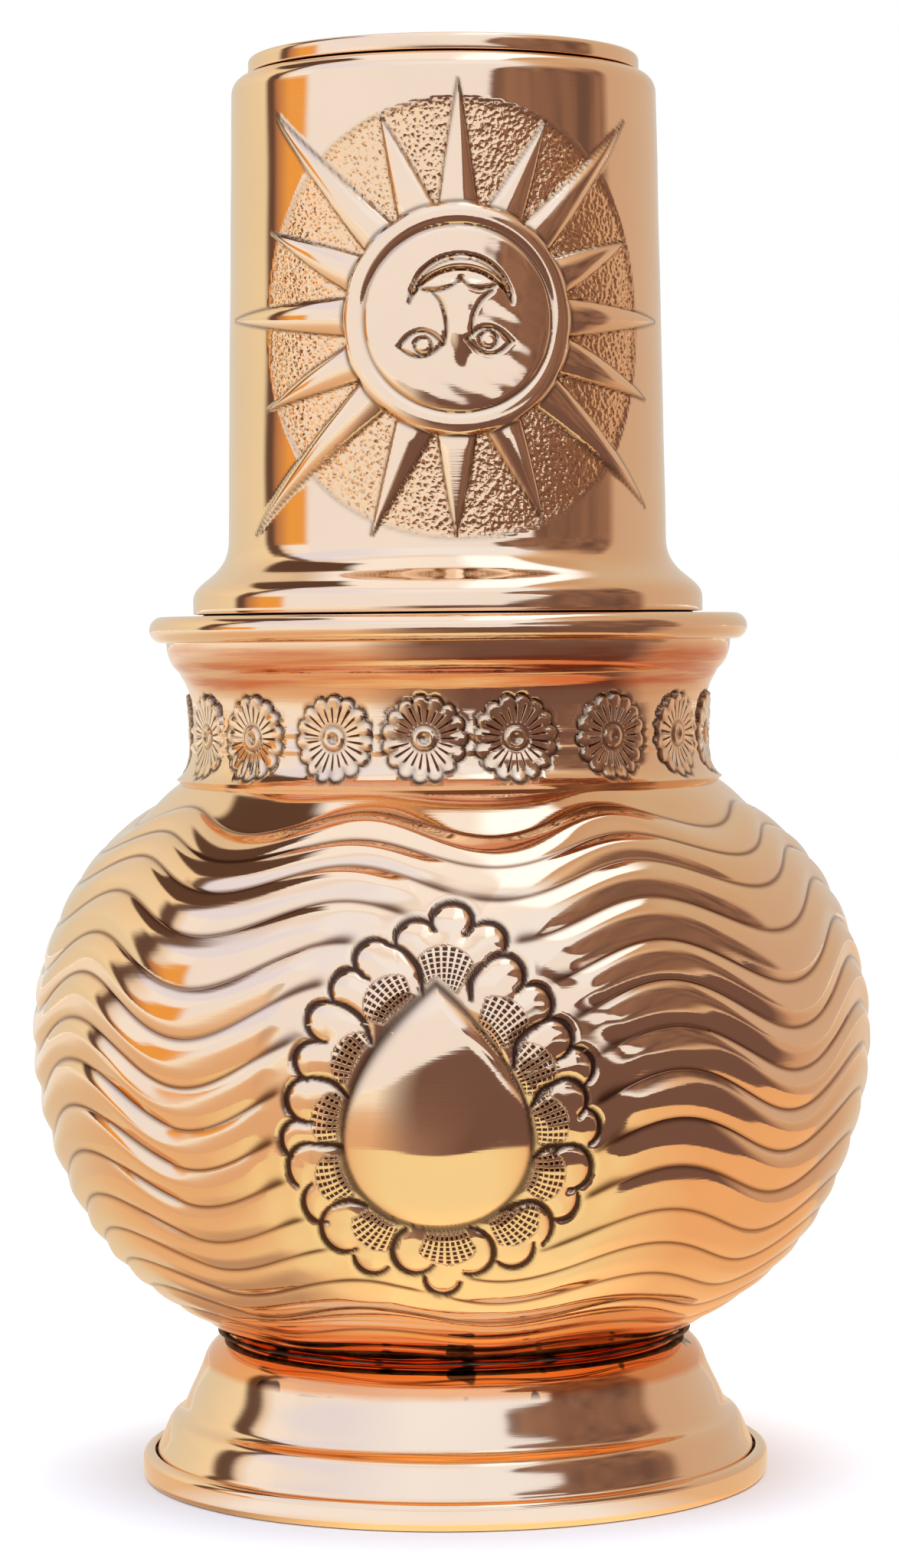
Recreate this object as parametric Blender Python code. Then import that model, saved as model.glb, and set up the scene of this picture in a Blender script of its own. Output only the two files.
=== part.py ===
"""Copper lota, a round water pot on a soldered foot, with an upturned tumbler as its lid.

Every piece is turned about the vertical axis. Its section is drawn as (radius, height) points and
spun round. Units are metres, +Z is up, and the origin is on the floor under the middle of the foot.
"""
import math

import bmesh
import bpy
from mathutils import Vector
from mathutils.geometry import interpolate_bezier

# Shared by every piece
SEGMENTS = 40                   # flats round each turned piece
CLEARANCE = 0.0003              # gap that stands for a brazed, soldered or resting contact
SHARP_ANGLE = math.radians(35)  # edges sharper than this keep a crisp line

# Belly: a bowl and a shoulder, spun apart and lapped at the widest line
BELLY_RADIUS = 0.0742
BELLY_LOWER_DEPTH = 0.063       # half height of the ellipse below the widest line
BELLY_UPPER_HEIGHT = 0.0575     # half height of the ellipse above it
BELLY_WALL = 0.0009
BELLY_FLAT_RADIUS = 0.022       # flat at the bottom of the bowl
BELLY_LAP = 0.006               # how far the bowl's tongue stands up inside the shoulder
BELLY_JOGGLE = 0.003            # height of the step that turns the bowl's wall into the tongue
BELLY_OPENING_RADIUS = 0.0463   # hole in the top of the shoulder, covered by the neck

# Foot: a flared skirt with a rounded shoulder, a step and a wired lower edge
FOOT_HEIGHT = 0.02515           # floor to the belly's underside at the seat
FOOT_SEAT_RADIUS = 0.0386       # where the skirt leaves the belly
FOOT_FLANGE = 0.0025            # width of the flange that follows the belly
FOOT_WALL = 0.0008
FOOT_SHOULDER = 0.0036          # rounding of the shoulder
FOOT_SHOULDER_SLOPE = math.radians(72)  # how steeply the skirt leaves the shoulder
FOOT_STEP_RADIUS = 0.048
FOOT_STEP_HEIGHT = 0.0126
FOOT_STEP_WIDTH = 0.0016
FOOT_STEP_DROP = 0.0014
FOOT_BULGE = 0.0004             # how far the skirt swells between its step and its hem
FOOT_RADIUS = 0.0555
HEM_WIDTH = 0.0033              # rolled edge, across
HEM_HEIGHT = 0.0049
HEM_ROUND = 0.0013              # corner radius of the roll
HEM_SLIT = 0.0004               # slit between the roll's raw edge and the skirt

# Solder run that fills the corner between belly and foot
SOLDER_WIDTH = 0.0018
SOLDER_INSET = 0.0016           # how far outside the seat the solder begins

# Neck: a waisted collar hemmed over the shoulder's hole
NECK_HEM_RADIUS = 0.0488
NECK_WAIST_RADIUS = 0.04565
NECK_WAIST_RISE = 0.0137        # hem to the narrowest line
NECK_BAND_RADIUS = 0.05
NECK_HEIGHT = 0.0267            # hem to the top edge
NECK_WALL = 0.0009

# Rim: a turned ring that holds the neck's edge and carries the tumbler
RIM_RADIUS = 0.0529
RIM_BEAD_HEIGHT = 0.0046
RIM_GROOVE_DEPTH = 0.0015       # how much of the neck's edge the bead covers
RIM_LEDGE = 0.0012              # width of the ledge that rests on the neck's edge, past its wall
RIM_PLATE = 0.0016
RIM_LIP_HEIGHT = 0.0026
RIM_LIP_WALL = 0.001

# Tumbler: a plain drinking cup, mouth down over the rim's lip
TUMBLER_HEIGHT = 0.0976
TUMBLER_MOUTH_RADIUS = 0.0451
TUMBLER_BAND_HEIGHT = 0.0022    # straight band at the mouth
TUMBLER_FLARE_HEIGHT = 0.0107   # curve from the band to the wall
TUMBLER_LOWER_RADIUS = 0.0387
TUMBLER_UPPER_RADIUS = 0.03745
TUMBLER_SHOULDER = 0.0033       # rounding at the base end
TUMBLER_FLANGE = 0.0032         # flange that the base is brazed to
TUMBLER_WALL = 0.0008
TUMBLER_FIT = 0.001             # play between the mouth and the rim's lip
TUMBLER_SETBACK = 0.0003        # how far the base ring stands out over the shoulder's end
BASE_HEIGHT = 0.0029
BASE_PLATE = 0.0008
BASE_RING = 0.002               # width of the ring that the tumbler stands on
BASE_ROUND = 0.0004

# Worked out from the sizes above
RIM_LIP_RADIUS = TUMBLER_MOUTH_RADIUS - TUMBLER_WALL - TUMBLER_FIT
BASE_RADIUS = TUMBLER_UPPER_RADIUS - TUMBLER_SHOULDER + TUMBLER_SETBACK
EQUATOR = FOOT_HEIGHT + BELLY_LOWER_DEPTH * math.sqrt(1 - (FOOT_SEAT_RADIUS / BELLY_RADIUS) ** 2)

COPPER = (0.83, 0.43, 0.27, 1.0)
TIN_SOLDER = (0.10, 0.10, 0.09, 1.0)
IRON_WIRE = (0.20, 0.19, 0.18, 1.0)


def arc(centre, radius, start, end, steps):
    """Points on a circle, from the angle start to the angle end, in degrees."""
    points = []
    for step in range(steps + 1):
        angle = math.radians(start + (end - start) * step / steps)
        points.append((centre[0] + radius * math.cos(angle), centre[1] + radius * math.sin(angle)))
    return points


def bezier(start, start_handle, end_handle, end, steps):
    """Points on a Bezier curve between two points with one handle each."""
    corners = [Vector((r, z, 0)) for r, z in (start, start_handle, end_handle, end)]
    return [(point.x, point.y) for point in interpolate_bezier(*corners, steps + 1)]


def spaced(first, last, steps):
    """Numbers from first to last in equal steps."""
    return [first + (last - first) * step / steps for step in range(steps + 1)]


def parallel(path, distance):
    """The path shifted sideways by the distance, to the right of its run."""
    points = [Vector(point) for point in path]
    normals = []
    for start, end in zip(points, points[1:]):
        run = (end - start).normalized()
        normals.append(Vector((run.y, -run.x)))
    before = [normals[0]] + normals
    after = normals + [normals[-1]]
    shifted = []
    for point, first, second in zip(points, before, after):
        mitre = (first + second) / (1 + first.dot(second))
        shifted.append(tuple(point + mitre * distance))
    return shifted


def belly_upper(angle):
    """Point on the belly's outside above the widest line, which is at angle 0."""
    return (BELLY_RADIUS * math.cos(angle), EQUATOR + BELLY_UPPER_HEIGHT * math.sin(angle))


def belly_lower(angle):
    """Point on the belly's outside below the widest line, which is at angle 0."""
    return (BELLY_RADIUS * math.cos(angle), EQUATOR - BELLY_LOWER_DEPTH * math.sin(angle))


def belly_angle(radius):
    """Angle at which the belly has this radius, the same above and below."""
    return math.acos(radius / BELLY_RADIUS)


def lap_angles():
    """Angles on the shoulder, from the top of the lap down to the widest line."""
    return spaced(math.asin(BELLY_LAP / BELLY_UPPER_HEIGHT), 0.0, 2)


def hem_angles():
    """Angles on the shoulder, from its hole down to the neck's hem."""
    return spaced(belly_angle(BELLY_OPENING_RADIUS), belly_angle(NECK_HEM_RADIUS), 2)


def bowl_section():
    """Lower half of the belly, from the axis up the inside and down the outside."""
    tongue_gap = BELLY_WALL + CLEARANCE
    joggle = math.asin(2 * BELLY_JOGGLE / BELLY_LOWER_DEPTH)
    wall_angles = spaced(joggle, belly_angle(BELLY_FLAT_RADIUS), 8)
    wall = [belly_lower(angle) for angle in wall_angles]
    wall.append((0.0, wall[-1][1]))
    tongue = [belly_upper(angle) for angle in lap_angles()]
    tongue_in = (BELLY_RADIUS - tongue_gap - BELLY_WALL, EQUATOR - BELLY_JOGGLE)
    inside = parallel(wall, BELLY_WALL)[::-1] + [tongue_in]
    inside += parallel(tongue, tongue_gap + BELLY_WALL)[::-1]
    ledge = EQUATOR - CLEARANCE
    outside = parallel(tongue, tongue_gap)
    outside += [(BELLY_RADIUS - tongue_gap, ledge), (BELLY_RADIUS, ledge)] + wall
    return inside + outside


def shoulder_section():
    """Upper half of the belly, from the hole that the neck covers to the widest line."""
    hem = hem_angles()
    lap = lap_angles()
    angles = hem[:-1] + spaced(hem[-1], lap[0], 5) + lap[1:]
    outside = [belly_upper(angle) for angle in angles]
    return outside + parallel(outside, BELLY_WALL)[::-1]


def neck_hem_edge():
    """Lowest point of the neck's inside, where its hem lies on the shoulder."""
    return parallel([belly_upper(angle) for angle in hem_angles()], -CLEARANCE)[-1]


def neck_top():
    """Height of the neck's top edge."""
    return neck_hem_edge()[1] + NECK_HEIGHT


def neck_section():
    """Collar, drawn up its inside and given its wall towards the outside."""
    hem = parallel([belly_upper(angle) for angle in hem_angles()], -CLEARANCE)[::-1]
    rise = Vector(hem[-1]) - Vector(hem[-2])
    waist = (NECK_WAIST_RADIUS - NECK_WALL, hem[0][1] + NECK_WAIST_RISE)
    top = (NECK_BAND_RADIUS - NECK_WALL, neck_top())
    lower_pull = (waist[1] - hem[-1][1]) * 0.55
    upper_pull = (top[1] - waist[1]) * 0.6
    lower_handle = tuple(Vector(hem[-1]) + rise.normalized() * abs(hem[-1][0] - waist[0]))
    lower = bezier(hem[-1], lower_handle, (waist[0], waist[1] - lower_pull), waist, 4)
    upper = bezier(waist, (waist[0], waist[1] + upper_pull), (top[0], top[1] - upper_pull), top, 6)
    inside = hem + lower[1:] + upper[1:]
    return parallel(inside, NECK_WALL)[::-1] + inside


def rim_seat():
    """Height of the face that the tumbler rests on."""
    return neck_top() + CLEARANCE - RIM_GROOVE_DEPTH + RIM_BEAD_HEIGHT


def rim_section():
    """Ring with a half round bead outside, a seat on top and a locating lip inside."""
    seat = rim_seat()
    groove_top = neck_top() + CLEARANCE
    bead_bottom = seat - RIM_BEAD_HEIGHT
    bead_round = RIM_BEAD_HEIGHT / 2
    lip_top = seat + RIM_LIP_HEIGHT
    lip_inner = RIM_LIP_RADIUS - RIM_LIP_WALL
    lip_middle = RIM_LIP_RADIUS - RIM_LIP_WALL / 2
    ledge = NECK_BAND_RADIUS - NECK_WALL - RIM_LEDGE
    bead = arc((RIM_RADIUS - bead_round, seat - bead_round), bead_round, 90, -90, 6)
    section = arc((lip_middle, lip_top - RIM_LIP_WALL / 2), RIM_LIP_WALL / 2, 180, 0, 4)
    section += [(RIM_LIP_RADIUS, seat)] + bead
    section += [(NECK_BAND_RADIUS + CLEARANCE, bead_bottom), (NECK_BAND_RADIUS + CLEARANCE, groove_top)]
    section += [(ledge, groove_top), (ledge - RIM_LEDGE, seat - RIM_PLATE), (lip_inner, seat - RIM_PLATE)]
    return section


def foot_path():
    """Outside of the skirt, from the flange under the belly down into the rolled edge."""
    flange_radii = spaced(FOOT_SEAT_RADIUS - FOOT_FLANGE, FOOT_SEAT_RADIUS, 2)
    under_belly = [belly_lower(belly_angle(radius)) for radius in flange_radii]
    flange = parallel(under_belly, CLEARANCE)
    slope = math.degrees(math.atan2(flange[-1][1] - flange[-2][1], flange[-1][0] - flange[-2][0]))
    leave = 90 - math.degrees(FOOT_SHOULDER_SLOPE)
    turn = math.radians(90 + slope)
    centre = (flange[-1][0] - FOOT_SHOULDER * math.cos(turn),
              flange[-1][1] - FOOT_SHOULDER * math.sin(turn))
    shoulder = arc(centre, FOOT_SHOULDER, 90 + slope, leave, 4)
    step_top = (FOOT_STEP_RADIUS, FOOT_STEP_HEIGHT)
    step_foot = (FOOT_STEP_RADIUS + FOOT_STEP_WIDTH, FOOT_STEP_HEIGHT - FOOT_STEP_DROP)
    hem = (FOOT_RADIUS - HEM_WIDTH + FOOT_WALL, HEM_HEIGHT)
    swell = ((step_foot[0] + hem[0]) / 2 + FOOT_BULGE, (step_foot[1] + hem[1]) / 2 + FOOT_BULGE)
    return flange + shoulder[1:] + [step_top, step_foot, swell, hem, (hem[0], HEM_ROUND)]


def foot_section():
    """Skirt with its lower edge rolled outwards round the wire."""
    path = foot_path()
    inner_corner = max(HEM_ROUND - FOOT_WALL, 0.0) / 2
    roll_inside = FOOT_RADIUS - HEM_WIDTH
    roof = HEM_HEIGHT - FOOT_WALL
    raw_edge = path[-2][0] + HEM_SLIT
    outer_round = FOOT_RADIUS - HEM_ROUND
    cavity_outer = FOOT_RADIUS - FOOT_WALL
    cavity = [(path[-1][0] + inner_corner, FOOT_WALL), (cavity_outer - inner_corner, FOOT_WALL)]
    cavity += [(cavity_outer, HEM_ROUND), (cavity_outer, HEM_HEIGHT - HEM_ROUND)]
    cavity += [(cavity_outer - inner_corner, roof), (raw_edge, roof), (raw_edge, HEM_HEIGHT)]
    roll = arc((outer_round, HEM_HEIGHT - HEM_ROUND), HEM_ROUND, 90, 0, 3)
    roll += arc((outer_round, HEM_ROUND), HEM_ROUND, 0, -90, 3)
    roll += [(roll_inside + HEM_ROUND / 2, 0.0)]
    return path + cavity + roll + parallel(path, FOOT_WALL)[::-1]


def wire_section():
    """Wire pressed flat inside the rolled edge."""
    left = FOOT_RADIUS - HEM_WIDTH + FOOT_WALL + CLEARANCE
    right = FOOT_RADIUS - FOOT_WALL - CLEARANCE
    bottom = FOOT_WALL + CLEARANCE
    top = HEM_HEIGHT - FOOT_WALL - CLEARANCE
    corner = (right - left) * 0.3
    return [(left + corner, top), (right - corner, top), (right, top - corner), (right, bottom + corner),
            (right - corner, bottom), (left + corner, bottom), (left, bottom + corner), (left, top - corner)]


def solder_section():
    """Wedge of solder between the belly's underside and the top of the foot."""
    inner = FOOT_SEAT_RADIUS + SOLDER_INSET
    under_belly = [belly_lower(belly_angle(radius)) for radius in (inner, inner + SOLDER_WIDTH)]
    roof = parallel(under_belly, CLEARANCE)
    floor = max(height for radius, height in foot_path()) + CLEARANCE
    return roof + [(roof[1][0], floor), (roof[0][0], floor)]


def tumbler_wall_top():
    """Height of the tumbler's flange above its mouth."""
    return TUMBLER_HEIGHT - BASE_HEIGHT - CLEARANCE


def tumbler_section():
    """Wall of the tumbler, from the flange that carries its base down to its mouth."""
    top = tumbler_wall_top()
    shoulder_end = BASE_RADIUS - TUMBLER_SETBACK
    shoulder = arc((shoulder_end, top - TUMBLER_SHOULDER), TUMBLER_SHOULDER, 90, 0, 4)
    flare_top = (TUMBLER_LOWER_RADIUS, TUMBLER_BAND_HEIGHT + TUMBLER_FLARE_HEIGHT)
    flare_foot = (TUMBLER_MOUTH_RADIUS, TUMBLER_BAND_HEIGHT)
    middle = TUMBLER_BAND_HEIGHT + TUMBLER_FLARE_HEIGHT * 0.36
    flare = bezier(flare_top, (flare_top[0], middle), (flare_foot[0], middle), flare_foot, 6)
    outside = [(shoulder_end - TUMBLER_FLANGE, top)] + shoulder + flare + [(TUMBLER_MOUTH_RADIUS, 0.0)]
    return outside + parallel(outside, TUMBLER_WALL)[::-1]


def base_section():
    """Base of the tumbler, a plate with a standing ring round it."""
    bottom = tumbler_wall_top() + CLEARANCE
    plate = bottom + BASE_PLATE
    inner = BASE_RADIUS - BASE_RING
    top = TUMBLER_HEIGHT
    return [(0.0, plate), (inner - BASE_ROUND, plate), (inner, plate + BASE_ROUND),
            (inner, top - BASE_ROUND), (inner + BASE_ROUND, top), (BASE_RADIUS - BASE_ROUND, top),
            (BASE_RADIUS, top - BASE_ROUND), (BASE_RADIUS, bottom), (0.0, bottom)]


def material(name, colour, roughness):
    """Principled metal of one colour."""
    made = bpy.data.materials.new(name)
    made.use_nodes = True
    shader = made.node_tree.nodes["Principled BSDF"]
    shader.inputs["Base Color"].default_value = colour
    shader.inputs["Metallic"].default_value = 1.0
    shader.inputs["Roughness"].default_value = roughness
    return made


def turn(name, section, finish, parent):
    """Spin a section round the vertical axis. One that starts on the axis also ends there."""
    mesh = bpy.data.meshes.new(name)
    shape = bmesh.new()
    corners = [shape.verts.new((radius, 0.0, height)) for radius, height in section]
    pairs = list(zip(corners, corners[1:]))
    if section[0][0] > 0:
        pairs.append((corners[-1], corners[0]))
    edges = [shape.edges.new(pair) for pair in pairs]
    bmesh.ops.spin(shape, geom=corners + edges, axis=(0, 0, 1), cent=(0, 0, 0),
                   angle=2 * math.pi, steps=SEGMENTS, use_merge=True)
    bmesh.ops.remove_doubles(shape, verts=shape.verts, dist=1e-6)
    bmesh.ops.recalc_face_normals(shape, faces=shape.faces)
    shape.to_mesh(mesh)
    shape.free()
    mesh.shade_smooth()
    mesh.set_sharp_from_angle(angle=SHARP_ANGLE)
    mesh.materials.append(finish)
    piece = bpy.data.objects.new(name, mesh)
    piece.parent = parent
    bpy.context.collection.objects.link(piece)
    return piece


def main():
    """Build the pot on the floor, then the tumbler on its rim."""
    for item in list(bpy.data.objects):
        bpy.data.objects.remove(item, do_unlink=True)
    turn("belly_bowl", bowl_section(), material("belly_bowl_copper", COPPER, 0.14), None)
    turn("belly_shoulder", shoulder_section(), material("belly_shoulder_copper", COPPER, 0.14), None)
    turn("neck_collar", neck_section(), material("neck_copper", COPPER, 0.14), None)
    turn("mouth_rim", rim_section(), material("rim_copper", COPPER, 0.12), None)
    turn("foot_skirt", foot_section(), material("foot_copper", COPPER, 0.12), None)
    turn("foot_rim_wire", wire_section(), material("wire_iron", IRON_WIRE, 0.5), None)
    turn("foot_solder", solder_section(), material("tin_solder", TIN_SOLDER, 0.6), None)
    lift = bpy.data.objects.new("tumbler_lift", None)
    lift.location = (0.0, 0.0, rim_seat() + CLEARANCE)
    bpy.context.collection.objects.link(lift)
    turn("tumbler_wall", tumbler_section(), material("tumbler_copper", COPPER, 0.12), lift)
    turn("tumbler_base", base_section(), material("tumbler_base_copper", COPPER, 0.14), lift)


main()
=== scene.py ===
"""Looks of a copper lota that is closed by its upturned tumbler.

Each piece starts as a flat grid, is wrapped round the pot's axis as sheet metal is, and is then chased: the
waves, the drop with its petals, the rosettes and the sun are moved out of the surface. Lengths are metres.
Ornament is laid out in millimetres on the unrolled surface. Azimuths are degrees from the front.
"""
import enum
import logging
import math
from dataclasses import dataclass, field

import bpy
import numpy as np
from mathutils import Matrix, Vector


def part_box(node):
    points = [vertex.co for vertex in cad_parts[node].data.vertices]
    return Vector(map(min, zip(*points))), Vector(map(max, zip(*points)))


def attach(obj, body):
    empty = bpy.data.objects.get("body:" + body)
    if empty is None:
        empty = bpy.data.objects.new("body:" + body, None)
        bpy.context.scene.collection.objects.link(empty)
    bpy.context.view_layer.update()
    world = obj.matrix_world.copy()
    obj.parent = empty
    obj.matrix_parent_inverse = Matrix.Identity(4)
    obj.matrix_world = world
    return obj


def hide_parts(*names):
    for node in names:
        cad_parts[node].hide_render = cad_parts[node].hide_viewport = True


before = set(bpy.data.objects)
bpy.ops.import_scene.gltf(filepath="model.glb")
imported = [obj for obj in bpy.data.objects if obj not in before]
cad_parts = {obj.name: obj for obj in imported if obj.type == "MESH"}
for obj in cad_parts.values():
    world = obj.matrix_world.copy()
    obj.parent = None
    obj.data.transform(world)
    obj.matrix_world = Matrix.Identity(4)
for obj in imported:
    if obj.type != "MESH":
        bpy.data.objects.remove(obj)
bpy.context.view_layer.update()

LOG = logging.getLogger("lota")

MM = 0.001
WELD = 2e-7                 # points closer than this are one point
CREASE = 48.0               # degrees between faces from which an edge stays sharp
JOINT_GAP = 0.0003          # gap that stands for a brazed joint or a resting contact
EVEN_RADIUS = 0.01          # inside this radius a turned piece is even
FLATS = 288                 # round a plain turned piece
FAR_AWAY = 1e3              # millimetres
IMAGE_HEIGHT = 2048         # pixels of the reference frame
PHOTO_FOCAL = 5583.0        # focal length in those pixels
EYE_ROW = 829.2             # row at the height of the lens
SENSOR = 36.0               # millimetres

Array = np.ndarray
Point = tuple[float, float]
Path = list[Point]
Colour = tuple[float, float, float]
Stops = tuple[tuple[float, Colour], ...]
Marks = dict[str, Array]
Socket = bpy.types.NodeSocket
Inputs = dict[int | str, object]


class Body(enum.Enum):
    """The two bodies that pieces ride on."""

    LOTA = "lota"
    TUMBLER = "tumbler"


class Slot(enum.Enum):
    """Material slots of the record."""

    BELLY = "belly_copper"
    NECK = "neck_copper"
    RIM = "rim_copper"
    FOOT = "foot_copper"
    TUMBLER = "tumbler_copper"
    WIRE = "wire_iron"
    SOLDER = "tin_solder"


class Glow(enum.Enum):
    """Rings of soft colour that the metal mirrors.

    Each row is a span of bearings, in degrees from the camera's side, and its colour. Colours blend from one
    span to the next.
    """

    LOWEST_WALL = (
        (-180, -180, (0.70, 0.68, 0.62)), (-112, -112, (0.92, 0.94, 0.79)), (-108, -104, (0.14, 0.09, 0.08)),
        (-100, -100, (0.52, 0.28, 0.16)), (-91, -81, (0.92, 0.50, 0.13)), (-77, 46, (0.97, 1.16, 1.50)),
        (62, 62, (0.82, 0.66, 0.52)), (84, 84, (0.56, 0.43, 0.36)), (100, 100, (0.68, 0.55, 0.48)),
        (180, 180, (0.70, 0.68, 0.62)),
    )
    LOW_WALL = (
        (-180, -180, (0.70, 0.68, 0.62)), (-112, -112, (0.98, 0.98, 0.83)), (-108, -101, (0.14, 0.09, 0.08)),
        (-97, -97, (0.9, 0.9, 0.9)), (-91, -81, (1.02, 1.2, 1.5)), (-77, 46, (0.97, 1.16, 1.50)),
        (62, 62, (0.82, 0.66, 0.52)), (84, 84, (0.56, 0.43, 0.36)), (100, 100, (0.68, 0.55, 0.48)),
        (180, 180, (0.70, 0.68, 0.62)),
    )
    MIDDLE_WALL = (
        (-180, -180, (0.70, 0.68, 0.60)), (-107, -107, (1.0, 0.96, 0.78)), (-104, -99, (0.17, 0.12, 0.105)),
        (-95, -58, (0.88, 1.09, 1.64)), (-20, 42, (1.0, 1.25, 1.72)), (60, 60, (0.80, 0.66, 0.54)),
        (84, 84, (0.68, 0.52, 0.40)), (180, 180, (0.70, 0.68, 0.60)),
    )
    HIGH_WALL = (
        (-180, -100, (0.70, 0.62, 0.52)), (-75, 40, (1.02, 1.25, 1.65)), (62, 62, (0.84, 0.73, 0.60)),
        (90, 90, (0.68, 0.57, 0.46)), (120, 180, (0.70, 0.62, 0.52)),
    )
    CARD = (
        (-180, -120, (0.80, 0.71, 0.56)), (-95, -36, (0.82, 0.60, 0.42)), (-14, -14, (0.36, 0.25, 0.22)),
        (8, 8, (0.19, 0.12, 0.11)), (50, 78, (0.19, 0.12, 0.115)), (95, 95, (0.66, 0.46, 0.34)),
        (180, 180, (0.80, 0.71, 0.56)),
    )
    FAR_CARD = (
        (-180, -180, (0.90, 0.80, 0.66)), (-100, -36, (1.02, 1.12, 1.20)), (-10, 78, (0.19, 0.12, 0.115)),
        (95, 95, (0.68, 0.52, 0.42)), (180, 180, (0.90, 0.80, 0.66)),
    )
    FLOOR_ALONG = (
        (-180, -70, (0.86, 0.70, 0.52)), (-45, 28, (1.02, 1.24, 1.62)), (55, 180, (0.86, 0.70, 0.52)),
    )
    FLOOR = (
        (-180, -120, (0.83, 0.74, 0.54)), (-95, -60, (0.88, 0.65, 0.42)), (-25, 20, (1.02, 1.00, 0.66)),
        (60, 180, (0.92, 0.60, 0.34)),
    )
    FLOOR_SHADE = (
        (-180, -180, (1.0, 0.68, 0.38)), (-125, -45, (0.56, 0.40, 0.28)), (-15, 30, (1.28, 1.08, 0.68)),
        (60, 180, (1.0, 0.68, 0.38)),
    )

    def stops(self) -> Stops:
        """Stops of a colour ramp that runs once round."""
        return tuple(((bearing + 180.0) / 360.0, colour)
                     for start, end, colour in self.value for bearing in sorted({start, end}))


def smooth(low: float, high: float, value: Array) -> Array:
    """Ease from 0 to 1 as value goes from low to high."""
    part = np.clip((value - low) / (high - low), 0.0, 1.0)
    return part * part * (3.0 - 2.0 * part)


def bell(value: Array, width: float | Array) -> Array:
    """Hump that is 1 where the value is 0 and fades over a width."""
    return np.exp(-(value / width) ** 2)


def spread(*spans: tuple[float, float, float]) -> Array:
    """Numbers over neighbouring spans, each with its own step.

    Args:
        spans: Start, end and largest step of each span, in order.

    Returns:
        The numbers, with each shared end once.
    """
    parts = []
    for start, end, step in spans:
        count = max(1, math.ceil(abs(end - start) / step))
        parts.append(np.linspace(start, end, count + 1)[:-1])
    return np.concatenate(parts + [np.array([spans[-1][1]])])


def arc(centre: Point, radius: float, start: float, end: float, steps: int) -> Path:
    """Points on a circle, from a start to an end in degrees."""
    angles = np.radians(np.linspace(start, end, steps + 1))
    return [(centre[0] + radius * math.cos(a), centre[1] + radius * math.sin(a)) for a in angles]


def bezier(start: Point, first: Point, second: Point, end: Point, steps: int) -> Path:
    """Points on a cubic curve.

    Args:
        start: First point.
        first: Its handle.
        second: Handle of the last point.
        end: Last point.
        steps: Number of chords.

    Returns:
        Points along the curve.
    """
    part = np.linspace(0.0, 1.0, steps + 1)[:, None]
    corners = [np.array(corner) for corner in (start, first, second, end)]
    curve = ((1 - part) ** 3 * corners[0] + 3 * part * (1 - part) ** 2 * corners[1]
             + 3 * part ** 2 * (1 - part) * corners[2] + part ** 3 * corners[3])
    return [tuple(point) for point in curve]


def flowing(points: Path, steps: int) -> Path:
    """Draw a smooth line through points.

    Args:
        points: Points that the line passes.
        steps: Chords between two of them.

    Returns:
        Points of the smooth line.
    """
    corners = np.array([points[0], *points, points[-1]])
    fine = [tuple(points[0])]
    for index in range(1, len(points)):
        before, start, end, after = corners[index - 1:index + 3]
        fine += bezier(start, start + (end - before) / 6, end - (after - start) / 6, end, steps)[1:]
    return fine


def parallel(path: Path, distance: float) -> Path:
    """Shift a path sideways.

    Args:
        path: Points of the path.
        distance: Shift to the right of its run.

    Returns:
        The shifted points.
    """
    points = np.array(path)
    runs = np.diff(points, axis=0)
    runs /= np.linalg.norm(runs, axis=1)[:, None]
    normals = np.column_stack((runs[:, 1], -runs[:, 0]))
    before = np.vstack((normals[:1], normals))
    after = np.vstack((normals, normals[-1:]))
    mitre = (before + after) / (1 + (before * after).sum(axis=1))[:, None]
    return [tuple(point) for point in points + mitre * distance]


def between(start: Point, end: Point, part: float) -> Point:
    """Point on a chord, at a share of its length."""
    return start[0] + (end[0] - start[0]) * part, start[1] + (end[1] - start[1]) * part


def resample(path: Path, step: float) -> Path:
    """Put extra points on the long chords of a path.

    Args:
        path: Points of the path.
        step: Longest chord that stays.

    Returns:
        The finer path.
    """
    fine = [path[0]]
    for start, end in zip(path, path[1:]):
        count = max(1, math.ceil(math.dist(start, end) / step))
        fine += [between(start, end, index / count) for index in range(1, count + 1)]
    return fine


def capsule(x: Array, y: Array, start: tuple[float, float, float], end: tuple[float, float, float]) -> Array:
    """Distance to a tapered capsule, negative inside.

    Args:
        x: Places across, in millimetres.
        y: Places up, in millimetres.
        start: Centre and radius of one end.
        end: Centre and radius of the other end.

    Returns:
        Signed distance in millimetres.
    """
    run_x, run_y = end[0] - start[0], end[1] - start[1]
    part = ((x - start[0]) * run_x + (y - start[1]) * run_y) / (run_x * run_x + run_y * run_y)
    part = np.clip(part, 0.0, 1.0)
    away = np.hypot(x - start[0] - run_x * part, y - start[1] - run_y * part)
    return away - (start[2] + (end[2] - start[2]) * part)


def stroke(x: Array, y: Array, points: Path) -> Array:
    """Distance to a line drawn through points.

    Args:
        x: Places across, in millimetres.
        y: Places up, in millimetres.
        points: Corners of the line.

    Returns:
        Distance in millimetres.
    """
    nearest = np.full(x.shape, FAR_AWAY)
    for start, end in zip(points, points[1:]):
        nearest = np.minimum(nearest, capsule(x, y, (*start, 0.0), (*end, 0.0)))
    return nearest


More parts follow.
